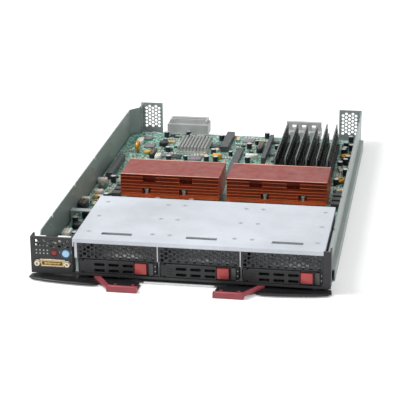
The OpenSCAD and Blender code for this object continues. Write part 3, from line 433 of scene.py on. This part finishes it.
socket_cream = moulded("socket_cream", "socket_cream", (0.80, 0.78, 0.70), 0.5)
lid_metal = plain_metal("lid_nickel", "lid_metal", (0.74, 0.75, 0.76), 0.3)
module_black = moulded("module_black", "module_black", (0.10, 0.10, 0.11), 0.38)
latch_grey = moulded("latch_grey", "latch_grey", (0.80, 0.81, 0.80), 0.45)
connector_grey = moulded("connector_grey", "connector_grey", (0.70, 0.71, 0.71), 0.4)
winding_gold = plain_metal("winding_gold", "inductor_gold", (0.84, 0.62, 0.26), 0.3, 0.6)
part_grey = moulded("part_grey", "part_grey", (0.26, 0.27, 0.28), 0.45)
cooler_metal = plain_metal("cooler_metal", "cooler_alu", (0.78, 0.79, 0.78), 0.4, 0.5)

sink_low, sink_high = box("heat_sink_left")
fin_pitch = (sink_high[0] - sink_low[0] - 0.5 * MM) / 83
# The dark top tone and bright foot tone paint shade on the tops of the sinks and light on their fronts
copper_sheet = copper("copper_sheet", "copper_fins", (0.56, 0.20, 0.15), (0.93, 0.38, 0.18), sink_low[2], sink_high[2], fin_pitch)
# Pale pink copper: a painted highlight along the folded top edges of the sinks
copper_edge_highlight = plain_metal("copper_edge_highlight", "copper_fins", (0.95, 0.68, 0.60), 0.34, 0.3)
copper_tie = plain_metal("copper_tie", "copper_fins", (0.88, 0.40, 0.24), 0.4, 0.3)

NODE_FINISH = {
    "tray_steel": galvanised, "bracket_steel": bracket, "cage_steel": cage, "cover_steel": cover,
    "screw_steel": bright_screw, "bezel_plastic": charcoal, "black_steel": grille_coat,
    "carrier_plastic": tray_black, "drive_metal": drive_metal, "button_red": key_red,
    "power_red": power_red, "monitor_blue": key_blue, "light_clear": light_clear,
    "board_green": board_green, "socket_black": contact_black, "connector_shell": shell_gold,
    "jack_metal": jack_cream, "lever_black": lever_black, "grip_red": grip_red,
    "socket_cream": socket_cream, "lid_metal": lid_metal, "copper_fins": copper_sheet,
    "module_black": module_black, "latch_grey": latch_grey, "connector_grey": connector_grey,
    "inductor_gold": winding_gold, "part_grey": part_grey, "cooler_alu": cooler_metal,
}
for node, piece in frame["nodes"].items():
    piece.data.materials.clear()
    piece.data.materials.append(NODE_FINISH[slot_of[node]][0])

# ---------------------------------------------------------------- places on the board


def at(points):
    """Places given in millimetres from the foot of the bezel's middle, as places in the frame."""
    return np.asarray(points, float).reshape(-1, 3) * MM + [0, front, 0]


def solids(node):
    """Lowest and highest corner of each separate solid of a node. Corners joined by an edge take the
    least of their numbers, over and over, until each solid's corners all have the same number."""
    mesh = frame["nodes"][node].data
    points = np.empty(len(mesh.vertices) * 3)
    mesh.vertices.foreach_get("co", points)
    points, same = np.unique(points.reshape(-1, 3).round(6), axis=0, return_inverse=True)
    edges = np.empty(len(mesh.edges) * 2, int)
    mesh.edges.foreach_get("vertices", edges)
    edges = same.reshape(-1)[edges.reshape(-1, 2)]
    label = np.arange(len(points))
    while True:
        least = np.minimum(label[edges[:, 0]], label[edges[:, 1]])
        new = label.copy()
        np.minimum.at(new, edges[:, 0], least)
        np.minimum.at(new, edges[:, 1], least)
        new = new[new]
        if np.array_equal(new, label):
            return np.array([[points[label == k].min(0), points[label == k].max(0)] for k in np.unique(label)])
        label = new


tongue_right = cover_low[0] - 1.5 * MM
main_front = at([0, 129, 0])[0, 1]
standing = ["heat_sink_left", "heat_sink_right", "processor_sockets", "memory_sockets", "signal_connector",
            "power_connector", "power_inductors", "board_parts", "chipset_cooler", "case_screws",
            "rear_bracket_left", "rear_bracket_right", "channel_bridge"]
standing += [f"{end}_latch_{k}" for end in ("front", "rear") for k in range(1, 7)]
taken = [(low[0], low[1], high[0], high[1]) for node in standing for low, high in solids(node)
         if high[2] > board_top + 0.1 * MM and low[2] < board_top + 25 * MM]
taken.append((tongue_right - 1 * MM, board_low[1] - MM, board_high[0], main_front + MM))
taken.append((board_low[0], board_high[1] - 18 * MM, board_low[0] + 14 * MM, board_high[1]))
occupied = np.array(taken)
WHOLE = (board_low[0], board_low[1], board_high[0], board_high[1])


def zone(x0, y0, x1, y1):
    """A part of the board, in millimetres from the foot of the bezel's middle."""
    return (*at([x0, y0, 0])[0, :2], *at([x1, y1, 0])[0, :2])


REAR = zone(-100, 335, 50, 452)
SIDE = zone(-139, 64, -103, 300)
STRIP = zone(119, 200, 139, 450)


def find(width, depth, area, margin=0.5 * MM, tries=90):
    """The middle of a free rectangle on the board, or None: the first random place that meets nothing."""
    global occupied
    inside = 1 * MM
    if min(area[2] - area[0] - width, area[3] - area[1] - depth) < 3 * inside:
        return None
    x = rng.uniform(area[0] + width / 2 + inside, area[2] - width / 2 - inside, tries)
    y = rng.uniform(area[1] + depth / 2 + inside, area[3] - depth / 2 - inside, tries)
    x, y = np.round(x, 4), np.round(y, 4)
    rect = np.stack([x - width / 2, y - depth / 2, x + width / 2, y + depth / 2], -1)
    wide = rect + np.array([-1, -1, 1, 1]) * margin
    hit = ((wide[:, None, :2] < occupied[None, :, 2:]) & (wide[:, None, 2:] > occupied[None, :, :2])).all(-1).any(1)
    if hit.all():
        return None
    k = int(np.argmin(hit))
    occupied = np.vstack([occupied, rect[k]])
    return x[k], y[k]


def rows(count, size, step, area, most=6):
    """Rows of equal small parts: places of their middles and their sizes, turned along X or along Y."""
    places, sizes = [], []
    for _ in range(count):
        n = int(rng.integers(1, most + 1))
        along_x = bool(rng.integers(0, 2))
        w, d, h = size if along_x else (size[1], size[0], size[2])
        room = (n - 1) * step
        spot = find(w + (0 if along_x else room), d + (room if along_x else 0), area)
        if spot is None:
            continue
        offset = (np.arange(n) - (n - 1) / 2) * step
        for o in offset:
            places.append((spot[0] + (0 if along_x else o), spot[1] + (o if along_x else 0), board_top))
            sizes.append((w, d, h))
    return np.array(places).reshape(-1, 3), np.array(sizes).reshape(-1, 3)


# ---------------------------------------------------------------- board parts

ceramic = moulded("ceramic_tan", "part_grey", (0.70, 0.60, 0.48), 0.5)
film_black = moulded("film_black", "part_grey", (0.13, 0.13, 0.14), 0.4)
tin = plain_metal("tin_ends", "connector_grey", (0.90, 0.91, 0.90), 0.3, 0.6)
gold = plain_metal("gold_contacts", "inductor_gold", (0.92, 0.76, 0.38), 0.3, 0.7)
cream = moulded("cream_header", "latch_grey", (0.93, 0.93, 0.90), 0.45)
slate = moulded("slate_chip", "part_grey", (0.50, 0.47, 0.50), 0.4)
tantalum = moulded("tantalum_yellow", "inductor_gold", (0.88, 0.68, 0.28), 0.42)
can_metal = plain_metal("can_metal", "cooler_alu", (0.86, 0.87, 0.87), 0.3, 0.6)
sleeve_blue = moulded("sleeve_dark", "socket_black", (0.14, 0.15, 0.20), 0.35)

# The large parts first, each in its own place; then cans, chips and coils; then rows of small parts
LARGE = {
    "cream_headers": (cream, [(-131, 89, 8, 14, 8), (-134.7, 184.5, 8, 5, 9.5), (-129, 222, 9, 6, 5), (-133, 258, 10, 6, 6),
                              (-88, 350, 6, 12, 6), (20, 366, 14, 5, 6), (-120, 405, 6, 14, 6)]),
    "dark_headers": (sleeve_blue, [(-134.7, 173.5, 8.5, 15, 9), (-122, 148, 14, 6, 8), (-96, 362, 5, 24, 6), (26, 402, 6, 30, 6)]),
    "slate_chips": (slate, [(-107, 395, 12, 12, 2), (-115, 425, 11, 11, 2), (-82, 362, 9, 9, 1.8), (8, 430, 13, 13, 2), (-45, 356, 14, 14, 2)]),
    "yellow_blocks": (tantalum, [(-20, 361, 10, 6, 6), (-128, 208, 5, 7, 4), (-104, 368, 7, 4.5, 4)]),
}
for name, (finish, list_mm) in LARGE.items():
    kept = []
    for x, y, w, d, h in list_mm:
        x0, y0 = at([x, y, 0])[0, :2]
        rect = np.array([x0 - w * MM / 2, y0 - d * MM / 2, x0 + w * MM / 2, y0 + d * MM / 2])
        if ((rect[:2] < occupied[:, 2:]) & (rect[2:] > occupied[:, :2])).all(-1).any():
            print("no room", name, x, y)
            continue
        occupied = np.vstack([occupied, rect])
        kept.append((x0, y0, board_top, w * MM, d * MM, h * MM))
    kept = np.array(kept)
    put(name, blocks(kept[:, :3], kept[:, 3:], 0.3 * MM), finish)
    if name.endswith("headers"):
        # Two rows of contacts let into the top of each header
        pins = [(x + sx * (w / 2 - 1.2 * MM) * 0.6, y + t * (d / 2 - 1.2 * MM), z + h) for x, y, z, w, d, h in kept
                for sx in (-1, 1) for t in np.linspace(-1, 1, max(2, int(d / (2.2 * MM))))]
        put(name.replace("headers", "header_pins"), blocks(pins, np.full((len(pins), 3), 0.6 * MM), 0.1 * MM), gold)


def cans(count, radius, height, area):
    """Places for standing cans."""
    spots = [find(2 * radius, 2 * radius, area) for _ in range(count)]
    return [(x, y, board_top) for x, y in (s for s in spots if s is not None)]


def can_shapes(radius, height):
    """Sleeve and top of a can: the sleeve is a turned profile with a groove near its foot, and the top
    a shallow crowned disc that stands out of it."""
    r, h, groove = radius, height, 0.25 * MM
    sleeve = [(r - groove, 0), (r, groove), (r, 0.12 * h), (r - groove, 0.17 * h), (r, 0.22 * h), (r, h - groove), (r - groove, h)]
    top = [(r - groove, h - 0.1 * MM), (r - groove, h + 0.12 * MM), (r * 0.6, h + 0.2 * MM), (0.1 * MM, h + 0.2 * MM)]
    return lathe(sleeve, 16), lathe(top, 16)


sleeves, tops = [], []
for count, radius, height, area in ((9, 3.1, 7.5, STRIP), (6, 3.1, 8, SIDE), (8, 3.1, 7, REAR), (6, 2.4, 5.4, REAR), (10, 3.1, 7, WHOLE)):
    spots = cans(count, radius * MM, height * MM, area)
    sleeve, top = can_shapes(radius * MM, height * MM)
    sleeves.append(repeat(sleeve, spots))
    tops.append(repeat(top, spots))
put("can_sleeves", join(sleeves), sleeve_blue, smooth=40)
put("can_tops", join(tops), can_metal, smooth=40)

chip_bodies, chip_sizes, leads = [], [], []
for count, (w, d, h), pitch, area in ((8, (5, 4, 1.6), 1.27, REAR), (5, (10, 6, 1.8), 0.8, REAR), (3, (12, 12, 1.5), 0.8, REAR),
                                      (8, (5, 4, 1.6), 1.27, SIDE), (3, (8, 8, 1.4), 0.8, SIDE), (6, (4, 5, 1.4), 1.27, STRIP),
                                      (14, (5, 4, 1.6), 1.27, WHOLE), (6, (9, 9, 1.5), 0.8, WHOLE)):
    w, d, h, pitch = w * MM, d * MM, h * MM, pitch * MM
    for _ in range(count):
        spot = find(w, d + 2 * MM, area)
        if spot is None:
            continue
        chip_bodies.append((*spot, board_top + 0.15 * MM))
        chip_sizes.append((w, d, h))
        n = int((w - pitch / 2) / pitch)
        for o in (np.arange(n) - (n - 1) / 2) * pitch:
            leads += [(spot[0] + o, spot[1] + side * (d / 2 + 0.3 * MM), board_top) for side in (-1, 1)]
put("chip_bodies", blocks(chip_bodies, chip_sizes, 0.2 * MM), film_black)
put("chip_leads", blocks(leads, np.tile([0.4, 1.0, 0.55], (len(leads), 1)) * MM, 0.1 * MM), tin)

for name, finish, size, step, spread_over in (
        ("tantalum_blocks", tantalum, (7, 4.2, 2.8), 5.2, ((4, REAR), (3, SIDE), (3, STRIP))),
        ("power_coils", film_black, (9, 9, 5), 10.5, ((2, REAR), (2, SIDE), (2, STRIP))),
        ("large_ceramics", ceramic, (3.2, 2.5, 1.6), 3.4, ((16, REAR), (10, SIDE), (9, STRIP), (14, WHOLE))),
        ("small_ceramics", ceramic, (2.0, 1.25, 0.9), 2.0, ((45, REAR), (26, SIDE), (22, STRIP), (60, WHOLE))),
        ("small_resistors", film_black, (1.7, 0.9, 0.5), 1.5, ((40, REAR), (24, SIDE), (18, STRIP), (60, WHOLE)))):
    places, sizes = zip(*(rows(n, np.array(size) * MM, step * MM, area, 2 if size[0] > 5 else 6) for n, area in spread_over))
    places, sizes = np.concatenate(places), np.concatenate(sizes)
    put(name, blocks(places, sizes, 0.12 * MM), finish)
    if size[0] > 8:
        continue
    # A plated end on each short side, just proud of the body
    long_x = (sizes[:, 0] > sizes[:, 1])[:, None]
    length = sizes.max(1)[:, None]
    cap = np.where(long_x, [[1, 0, 0]], [[0, 1, 0]]) * length * 0.38
    cap_size = np.where(long_x, sizes * [[0.28, 1.06, 1.06]], sizes * [[1.06, 0.28, 1.06]])
    put(name + "_ends", blocks(np.concatenate([places - cap, places + cap]), np.concatenate([cap_size, cap_size]), 0.08 * MM), tin)

# ---------------------------------------------------------------- heat sinks

WINDOWS, WINDOW_WIDTH = (-22.3 * MM, 17.7 * MM), 13.2 * MM
TIE_ROWS = np.array([35.2, 31.0, 27.0, 23.7, 20.4, 17.0]) * MM
strips, ties = [], []
for node in ("heat_sink_left", "heat_sink_right"):
    low, high = box(node)
    middle = (low + high) / 2
    width = high[0] - low[0]
    # Folded edges along the front and rear of the top
    for y in (low[1] + 0.7 * MM, high[1] - 0.7 * MM):
        strips.append(blocks((middle[0], y, high[2] - 0.2 * MM), (width, 1.4 * MM, 0.5 * MM), 0.15 * MM))
    fin_x = low[0] + 0.25 * MM + np.arange(84) * fin_pitch
    for face, out in ((low[1], -1), (high[1], 1)):
        for z in TIE_ROWS:
            clear = np.ones(len(fin_x) - 1, bool)
            x = (fin_x[1:] + fin_x[:-1]) / 2
            if 28 * MM < z < 36 * MM:
                for w in WINDOWS:
                    clear &= abs(x - middle[0] - w) > WINDOW_WIDTH / 2 + 0.4 * MM
            if z < 22 * MM:
                for screw_low, screw_high in solids("heat_sink_screws"):
                    clear &= (x < screw_low[0] - 1.4 * MM) | (x > screw_high[0] + 1.4 * MM)
            x = x[clear]
            ties.append(np.column_stack([x, np.full(len(x), face + out * 0.05 * MM), np.full(len(x), z - 0.4 * MM)]))
# The folded edges take the pale copper as a painted highlight
put("sink_edges", join(strips), copper_edge_highlight)
ties = np.concatenate(ties)
put("fin_ties", blocks(ties, np.tile([1.05, 0.3, 0.8], (len(ties), 1)) * MM, 0.08 * MM), copper_tie)

# ---------------------------------------------------------------- drive cage cover

# A dark grey that paints the shade in the screw countersinks and cross slots
recess_shade = moulded("recess_shade", "cover_steel", (0.36, 0.38, 0.40), 0.5)
screw_boxes = [(low, high) for low, high in solids("case_screws")]
cover_screws = np.array([(low + high) / 2 for low, high in screw_boxes if high[2] > cover_high[2] - MM])
board_screws = np.array([(low + high) / 2 for low, high in screw_boxes if high[2] < board_top + 4 * MM and high[2] > board_top])
cover_screws[:, 2] = cover_high[2]
ring = lathe([(2.05 * MM, -0.3 * MM), (2.5 * MM, -0.3 * MM), (2.5 * MM, 0.0), (2.35 * MM, 0.04 * MM), (2.05 * MM, 0.0)], 24)
# Dark rings round the cover screws: painted shade of the countersinks
put("screw_recesses", repeat((ring[0], ring[1][:1]), cover_screws + [0, 0, -0.02 * MM]), recess_shade, smooth=30)
bar = blocks((0, 0, -0.1 * MM), (2.2 * MM, 0.5 * MM, 0.14 * MM), 0.03 * MM)
# Dark crosses on the cover and board screws: painted shade in their slots
put("screw_slots", repeat(join([bar, turned(bar, "Z", 90)]), cover_screws), recess_shade)
board_screws[:, 2] = board_top + 1.6 * MM
put("board_screw_slots", repeat(join([bar, turned(bar, "Z", 90)]), board_screws), recess_shade)

# ---------------------------------------------------------------- drive bays

label_white = moulded("label_white", "drive_metal", (0.96, 0.96, 0.95), 0.5)
lever_tip = moulded("latch_tip", "carrier_plastic", (0.27, 0.28, 0.28), 0.42)
red_cap = moulded("key_cap", "button_red", (0.70, 0.29, 0.28), 0.38)
lamp_green = moulded("lamp_pale", "light_clear", (0.80, 0.86, 0.82), 0.25)
LABELS = {1: (20, 57, 17, 47), 2: (8, 46, 15, 25), 3: (24, 62, 17, 47)}
for k in bays:
    low, high = box(f"drive_{k}")
    x0, x1, y0, y1 = np.array(LABELS[k]) * MM
    label = rounded_plate(x1 - x0, y1 - y0, 0.15 * MM, 1.5 * MM, 0.05 * MM)
    put(f"drive_label_{k}", moved(label, (low[0] + (x0 + x1) / 2 - 3.6 * MM, front + (y0 + y1) / 2, high[2] - 0.02 * MM)), label_white, f"carrier_{k}")
    low, high = box(f"release_button_{k}")
    cap = turned(rounded_plate(high[0] - low[0], high[2] - low[2], 0.5 * MM, 1.1 * MM, 0.3 * MM, 6), "X", 90)
    put(f"release_cap_{k}", moved(cap, ((low[0] + high[0]) / 2, low[1] + 0.05 * MM, (low[2] + high[2]) / 2)), red_cap, f"release_{k}")
    low, high = box(f"drive_carrier_{k}")
    tip = turned(rounded_plate(4.1 * MM, 11.8 * MM, 0.35 * MM, 0.8 * MM, 0.15 * MM), "X", 90)
    put(f"latch_tip_{k}", moved(tip, (high[0] - 4.85 * MM, low[1] + 0.05 * MM, (low[2] + high[2]) / 2)), lever_tip, f"carrier_{k}")
    lamps = [turned(lathe([(0.6 * MM, 0), (0.6 * MM, 0.3 * MM), (0.3 * MM, 0.45 * MM), (0.02 * MM, 0.5 * MM)], 12), "X", 90)]
    lamps = join([moved(lamps[0], (high[0] - 1.3 * MM, low[1] + 2.25 * MM, low[2] + z * MM)) for z in (4.2, 9.2)])
    put(f"drive_lamps_{k}", lamps, lamp_green, f"carrier_{k}", smooth=40)
    low, high = box(f"carrier_handle_{k}")
    # A rib along the top of the handle
    rib = blocks(((low[0] + high[0]) / 2 + 3.3 * MM, low[1] + 0.1 * MM, high[2] - 0.75 * MM), (high[0] - low[0] - 8 * MM, 0.5 * MM, 0.5 * MM), 0.12 * MM)
    put(f"handle_rib_{k}", rib, lever_tip, f"handle_{k}")

# ---------------------------------------------------------------- control panel

ring_blue = moulded("ring_blue", "monitor_blue", (0.16, 0.30, 0.42), 0.35)
ring_red = moulded("ring_red", "power_red", (0.30, 0.11, 0.12), 0.35)
print_grey = moulded("print_grey", "bezel_plastic", (0.62, 0.63, 0.63), 0.5)


def collar(node, inner, outer, finish, name):
    """A raised ring round a button: its section is a low arch, turned about the button's axis."""
    low, high = box(node)
    arch = [(inner, -0.3 * MM), (inner, 0.25 * MM), ((inner + outer) / 2, 0.4 * MM), (outer, 0.2 * MM), (outer, -0.3 * MM)]
    points, faces = turned(lathe(arch, 32), "X", 90)
    put(name, moved((points, faces[:1]), ((low[0] + high[0]) / 2, front, (low[2] + high[2]) / 2)), finish, smooth=35)


collar("monitor_button", 3.95 * MM, 4.9 * MM, ring_blue, "monitor_collar")
collar("power_button", 3.15 * MM, 3.9 * MM, ring_red, "power_collar")
low, high = box("console_connector")
shell_middle = (low + high) / 2
span = high[0] - low[0]
outline = np.array([[-0.5, 0.5], [0.5, 0.5], [0.46, -0.5], [-0.46, -0.5]]) * [span + 3.2 * MM, 7.6 * MM]
inner = outline * [(span + 0.2 * MM) / (span + 3.2 * MM), 5.2 / 7.6]
flange = np.concatenate([np.column_stack([loop[:, 0], np.full(4, y), loop[:, 1]]) for loop, y in ((outline, 0), (outline, -0.5 * MM), (inner, -0.5 * MM), (inner, 0))])
quads = grid_quads(4, 4, wrap_rows=True, wrap_columns=True)
shell_pale = plain_metal("shell_pale", "connector_shell", (0.90, 0.85, 0.76), 0.3, 0.4)
put("console_flange", moved((flange, [quads]), (shell_middle[0], front, shell_middle[2])), shell_pale)
pins = [(shell_middle[0] + x * MM, low[1] + 0.25 * MM, shell_middle[2] + z * MM) for z in (-0.95, 0.75) for x in np.arange(-6.5, 6.6, 1.0)]
put("console_contacts", blocks(pins, np.tile([0.45, 3.0, 0.3], (len(pins), 1)) * MM, 0.05 * MM), gold)
nut = turned(lathe([(3.3 * MM, 0), (3.3 * MM, 0.8 * MM), (2.9 * MM, 1.4 * MM), (2.2 * MM, 1.6 * MM)], 6), "X", 90)
jacks = [(low + high) / 2 for low, high in solids("jack_screws")]
put("jack_collars", repeat((nut[0], nut[1][:2]), [(j[0], front, j[2]) for j in jacks]), jack_cream, smooth=20)
marks = [(x, z, w, h) for x, z, w, h in ((-138, 33.2, 2.2, 0.7), (-134.3, 33.2, 0.8, 1.6), (-130.7, 33.2, 2.0, 0.6), (-127.2, 33.2, 1.4, 1.2),
                                         (-120.5, 32.4, 1.6, 0.5), (-109.2, 33.0, 2.2, 0.5), (-115, 26.4, 0.6, 2.6), (-103.8, 26.4, 0.5, 3.4))]
marks = at([(x, 0.02, z) for x, z, w, h in marks]), np.array([(w, 0.1, h) for x, z, w, h in marks]) * MM
put("panel_marks", blocks(marks[0], marks[1], 0.02 * MM), print_grey)
low, high = box("control_board")
tops = at([(-134, 9.3, 31.5), (-112, 9.3, 31.5), (-122, 9.3, 30.5)])
put("control_headers", blocks(tops, np.array([(6, 6, 8), (14, 6, 8.5), (4, 4, 4)]) * MM, 0.3 * MM), cream)

# ---------------------------------------------------------------- tray, levers and grips

hem = np.array([(math.cos(a), math.sin(a)) for a in np.linspace(0, 2 * math.pi, 12, endpoint=False)]) * 1.15 * MM
hem_path = at([(x, 1.1, 1.15) for x in (-34, -20, 0, 20, 34)])
# A much lighter copy of the tray steel: a painted highlight along the tray's front edge
hem_highlight_finish = sheet_metal("tray_hem_highlight", "tray_steel", (0.90, 0.90, 0.90), metallic=0.3, roughness=0.35)
put("tray_hem_highlight", sweep(hem_path, hem), hem_highlight_finish, smooth=40)

for side, sign in (("left", -1), ("right", 1)):
    low, high = box(f"ejector_lever_{side}")
    edge = np.array([(-86, -4.2), (-140.5, -4.2), (-143.2, -5.2), (-142, -7), (-128, -10.5), (-112, -12.6), (-96, -14.2), (-82, -14.6), (-75, -13)], float)
    n = len(edge)
    z0, z1 = low[2] + 0.05 * MM, high[2] - 0.05 * MM
    ring_low = np.column_stack([at(np.column_stack([edge, np.zeros(n)]))[:, :2], np.full(n, z0)])
    ring_high = ring_low + [0, 0, z1 - z0 - 0.3 * MM]
    middle = ring_high.mean(0)
    ring_top = middle + (ring_high - middle) * [0.985, 0.97, 1] + [0, 0, 0.3 * MM]
    plate = (np.concatenate([ring_low, ring_high, ring_top]), [grid_quads(3, n, wrap_columns=True), np.arange(n)[None, ::-1], np.arange(n)[None] + 2 * n])
    if sign > 0:
        plate = mirrored(plate)
    put(f"lever_skirt_{side}", plate, lever_black, f"lever_{side}")
    low, high = box(f"lever_grip_{side}")
    # Pale strips along the top of the grip's bar: a painted highlight on its lit top face
    highlight_strips = np.array([(sign * 50.5, -22.6 + 1.7 * r, 5.3) for r in range(2)])
    put(f"grip_top_highlight_{side}", blocks(at(highlight_strips) - [0, 0, 0.15 * MM], np.tile([26, 0.7, 0.4], (len(highlight_strips), 1)) * MM, 0.12 * MM), grip_highlight, f"grip_{side}")

# ---------------------------------------------------------------- memory, rear connectors and walls

edge_pale = moulded("module_edge", "module_black", (0.42, 0.46, 0.44), 0.4)
modules = solids("memory_modules")
tops = np.array([((a[0] + b[0]) / 2, (a[1] + b[1]) / 2, b[2] - 0.05 * MM) for a, b in modules])
lengths = np.array([b[1] - a[1] for a, b in modules])
put("module_top_edges", blocks(tops, np.column_stack([np.full(len(tops), 1.3 * MM), lengths - 0.4 * MM, np.full(len(tops), 0.2 * MM)]), 0.05 * MM), edge_pale)
fronts = np.array([((a[0] + b[0]) / 2, a[1] - 0.0 * MM, a[2] + 12 * MM) for a, b in modules])
put("module_front_edges", blocks(fronts, np.tile([1.3, 0.25, 18.0], (len(fronts), 1)) * MM, 0.05 * MM), edge_pale)
chips = []
for a, b in modules:
    for j in range(9):
        y = a[1] + 6 * MM + (j + 0.5) * (lengths[0] - 12 * MM) / 9
        chips += [((a[0] + b[0]) / 2 + side * 0.95 * MM, y + o, b[2] - 20.5 * MM) for side in (-1, 1) for o in (-3 * MM, 3 * MM)]
put("module_capacitors", blocks(chips, np.tile([0.9, 1.6, 0.8], (len(chips), 1)) * MM, 0.08 * MM), tin)
low, high = box("signal_connector")
rng_x = np.linspace(low[0] + 5 * MM, high[0] - 5 * MM, 20)
shield = [(x, y, high[2] - 0.1 * MM) for x in rng_x for y in (low[1] + 8 * MM, low[1] + 15 * MM)]
put("shield_slots", blocks(shield, np.tile([1.2, 4.5, 0.25], (len(shield), 1)) * MM, 0.06 * MM), part_grey)
low, high = box("signal_connector")
tails = [(x, low[1] - 0.6 * MM, board_top) for x in np.linspace(low[0] + 2 * MM, high[0] - 2 * MM, 24)]
put("connector_tails", blocks(tails, np.tile([0.8, 1.6, 2.2], (len(tails), 1)) * MM, 0.2 * MM), tin)
rivet = lathe([(1.7 * MM, 0), (1.7 * MM, 0.2 * MM), (1.3 * MM, 0.55 * MM), (0.7 * MM, 0.75 * MM), (0.05 * MM, 0.8 * MM)], 16)
wall_x = at([139.8, 0, 0])[0, 0]
inner = [(y, z) for y in (60, 150, 240, 330, 420) for z in (16, 31)]
left_rivets = repeat(turned(rivet, "Y", 90), at([(-139.8, y, z) for y, z in inner]))
right_rivets = repeat(turned(rivet, "Y", -90), at([(139.8, y, z) for y, z in inner if y > 130]))
put("wall_rivets", join([left_rivets, right_rivets]), galvanised, smooth=40)

# ---------------------------------------------------------------- camera, floor and light

# Direction of view in degrees, and where the camera stands, measured from the middle of the bezel
azimuth, elevation, roll = math.radians(-9.7), math.radians(19.9), math.radians(-0.5)
camera_place = Vector((0.2428, front - 1.2971, 0.5641))
forward = Vector((math.sin(azimuth) * math.cos(elevation), math.cos(azimuth) * math.cos(elevation), -math.sin(elevation)))
level = Vector((math.cos(azimuth), -math.sin(azimuth), 0))
upright = level.cross(forward)
right = level * math.cos(roll) + upright * math.sin(roll)
up = upright * math.cos(roll) - level * math.sin(roll)
lens = bpy.data.cameras.new("camera")
lens.lens = 136.1
lens.sensor_width = 36.0
lens.clip_end = 20
camera = bpy.data.objects.new("camera", lens)
bpy.context.scene.collection.objects.link(camera)
camera.matrix_world = Matrix.Translation(camera_place) @ Matrix((right, up, -forward)).transposed().to_4x4()
bpy.context.scene.camera = camera

floor_mesh = bpy.data.meshes.new("floor")
reach = 6.0
floor_mesh.from_pydata([(-reach, -reach, 0), (reach, -reach, 0), (reach, reach, 0), (-reach, reach, 0)], [], [(0, 1, 2, 3)])
floor = bpy.data.objects.new("floor", floor_mesh)
bpy.context.scene.collection.objects.link(floor)
paper = Finish("floor_paper", 0.0, 0.9, 0.0)
paper.colour(tone(0.96, 0.96, 0.96))
seen = paper.add("ShaderNodeLightPath")
glow = paper.add("ShaderNodeEmission")
glow.inputs["Strength"].default_value = 0.25
dark = paper.add("ShaderNodeEmission")
dark.inputs["Strength"].default_value = 0.0
pick = paper.add("ShaderNodeMixShader")
either = paper.add("ShaderNodeMath", operation="MAXIMUM")
paper.join(seen.outputs["Is Camera Ray"], either.inputs[0])
paper.join(seen.outputs["Is Glossy Ray"], either.inputs[1])
paper.join(either.outputs[0], pick.inputs["Fac"])
paper.join(dark.outputs[0], pick.inputs[1])
paper.join(glow.outputs[0], pick.inputs[2])
total = paper.add("ShaderNodeAddShader")
paper.join(paper.shader.outputs["BSDF"], total.inputs[0])
paper.join(pick.outputs[0], total.inputs[1])
paper_out = [n for n in paper.tree.nodes if n.type == "OUTPUT_MATERIAL"][0]
paper.join(total.outputs[0], paper_out.inputs["Surface"])
floor_mesh.materials.append(paper.material)

world = bpy.data.worlds.new("soft_room")
bpy.context.scene.world = world
world.use_nodes = True
sky = world.node_tree
sky.nodes.clear()
seen = sky.nodes.new("ShaderNodeLightPath")
level_light = sky.nodes.new("ShaderNodeMapRange")
level_light.inputs["To Min"].default_value = 0.72
level_light.inputs["To Max"].default_value = 1.0
straight = sky.nodes.new("ShaderNodeMath")
straight.operation = "MAXIMUM"
through = sky.nodes.new("ShaderNodeMath")
through.operation = "MAXIMUM"
sky.links.new(seen.outputs["Is Camera Ray"], straight.inputs[0])
sky.links.new(seen.outputs["Is Glossy Ray"], straight.inputs[1])
sky.links.new(straight.outputs[0], through.inputs[0])
sky.links.new(seen.outputs["Is Transmission Ray"], through.inputs[1])
sky.links.new(through.outputs[0], level_light.inputs["Value"])
air = sky.nodes.new("ShaderNodeBackground")
air.inputs["Color"].default_value = (1, 1, 1, 1)
sky.links.new(level_light.outputs["Result"], air.inputs["Strength"])
out = sky.nodes.new("ShaderNodeOutputWorld")
sky.links.new(air.outputs[0], out.inputs["Surface"])


def lamp(name, place, target, size, watts):
    """A square soft lamp that looks at a target."""
    light = bpy.data.lights.new(name, "AREA")
    light.shape = "SQUARE"
    light.size = size
    light.energy = watts
    thing = bpy.data.objects.new(name, light)
    thing.location = place
    thing.rotation_mode = "QUATERNION"
    thing.rotation_quaternion = (Vector(target) - Vector(place)).to_track_quat("-Z", "Y")
    bpy.context.scene.collection.objects.link(thing)


lamp("key", (-0.9, -0.3, 1.3), (0, 0, 0), 0.7, 16)

bpy.context.scene.view_settings.view_transform = "Standard"
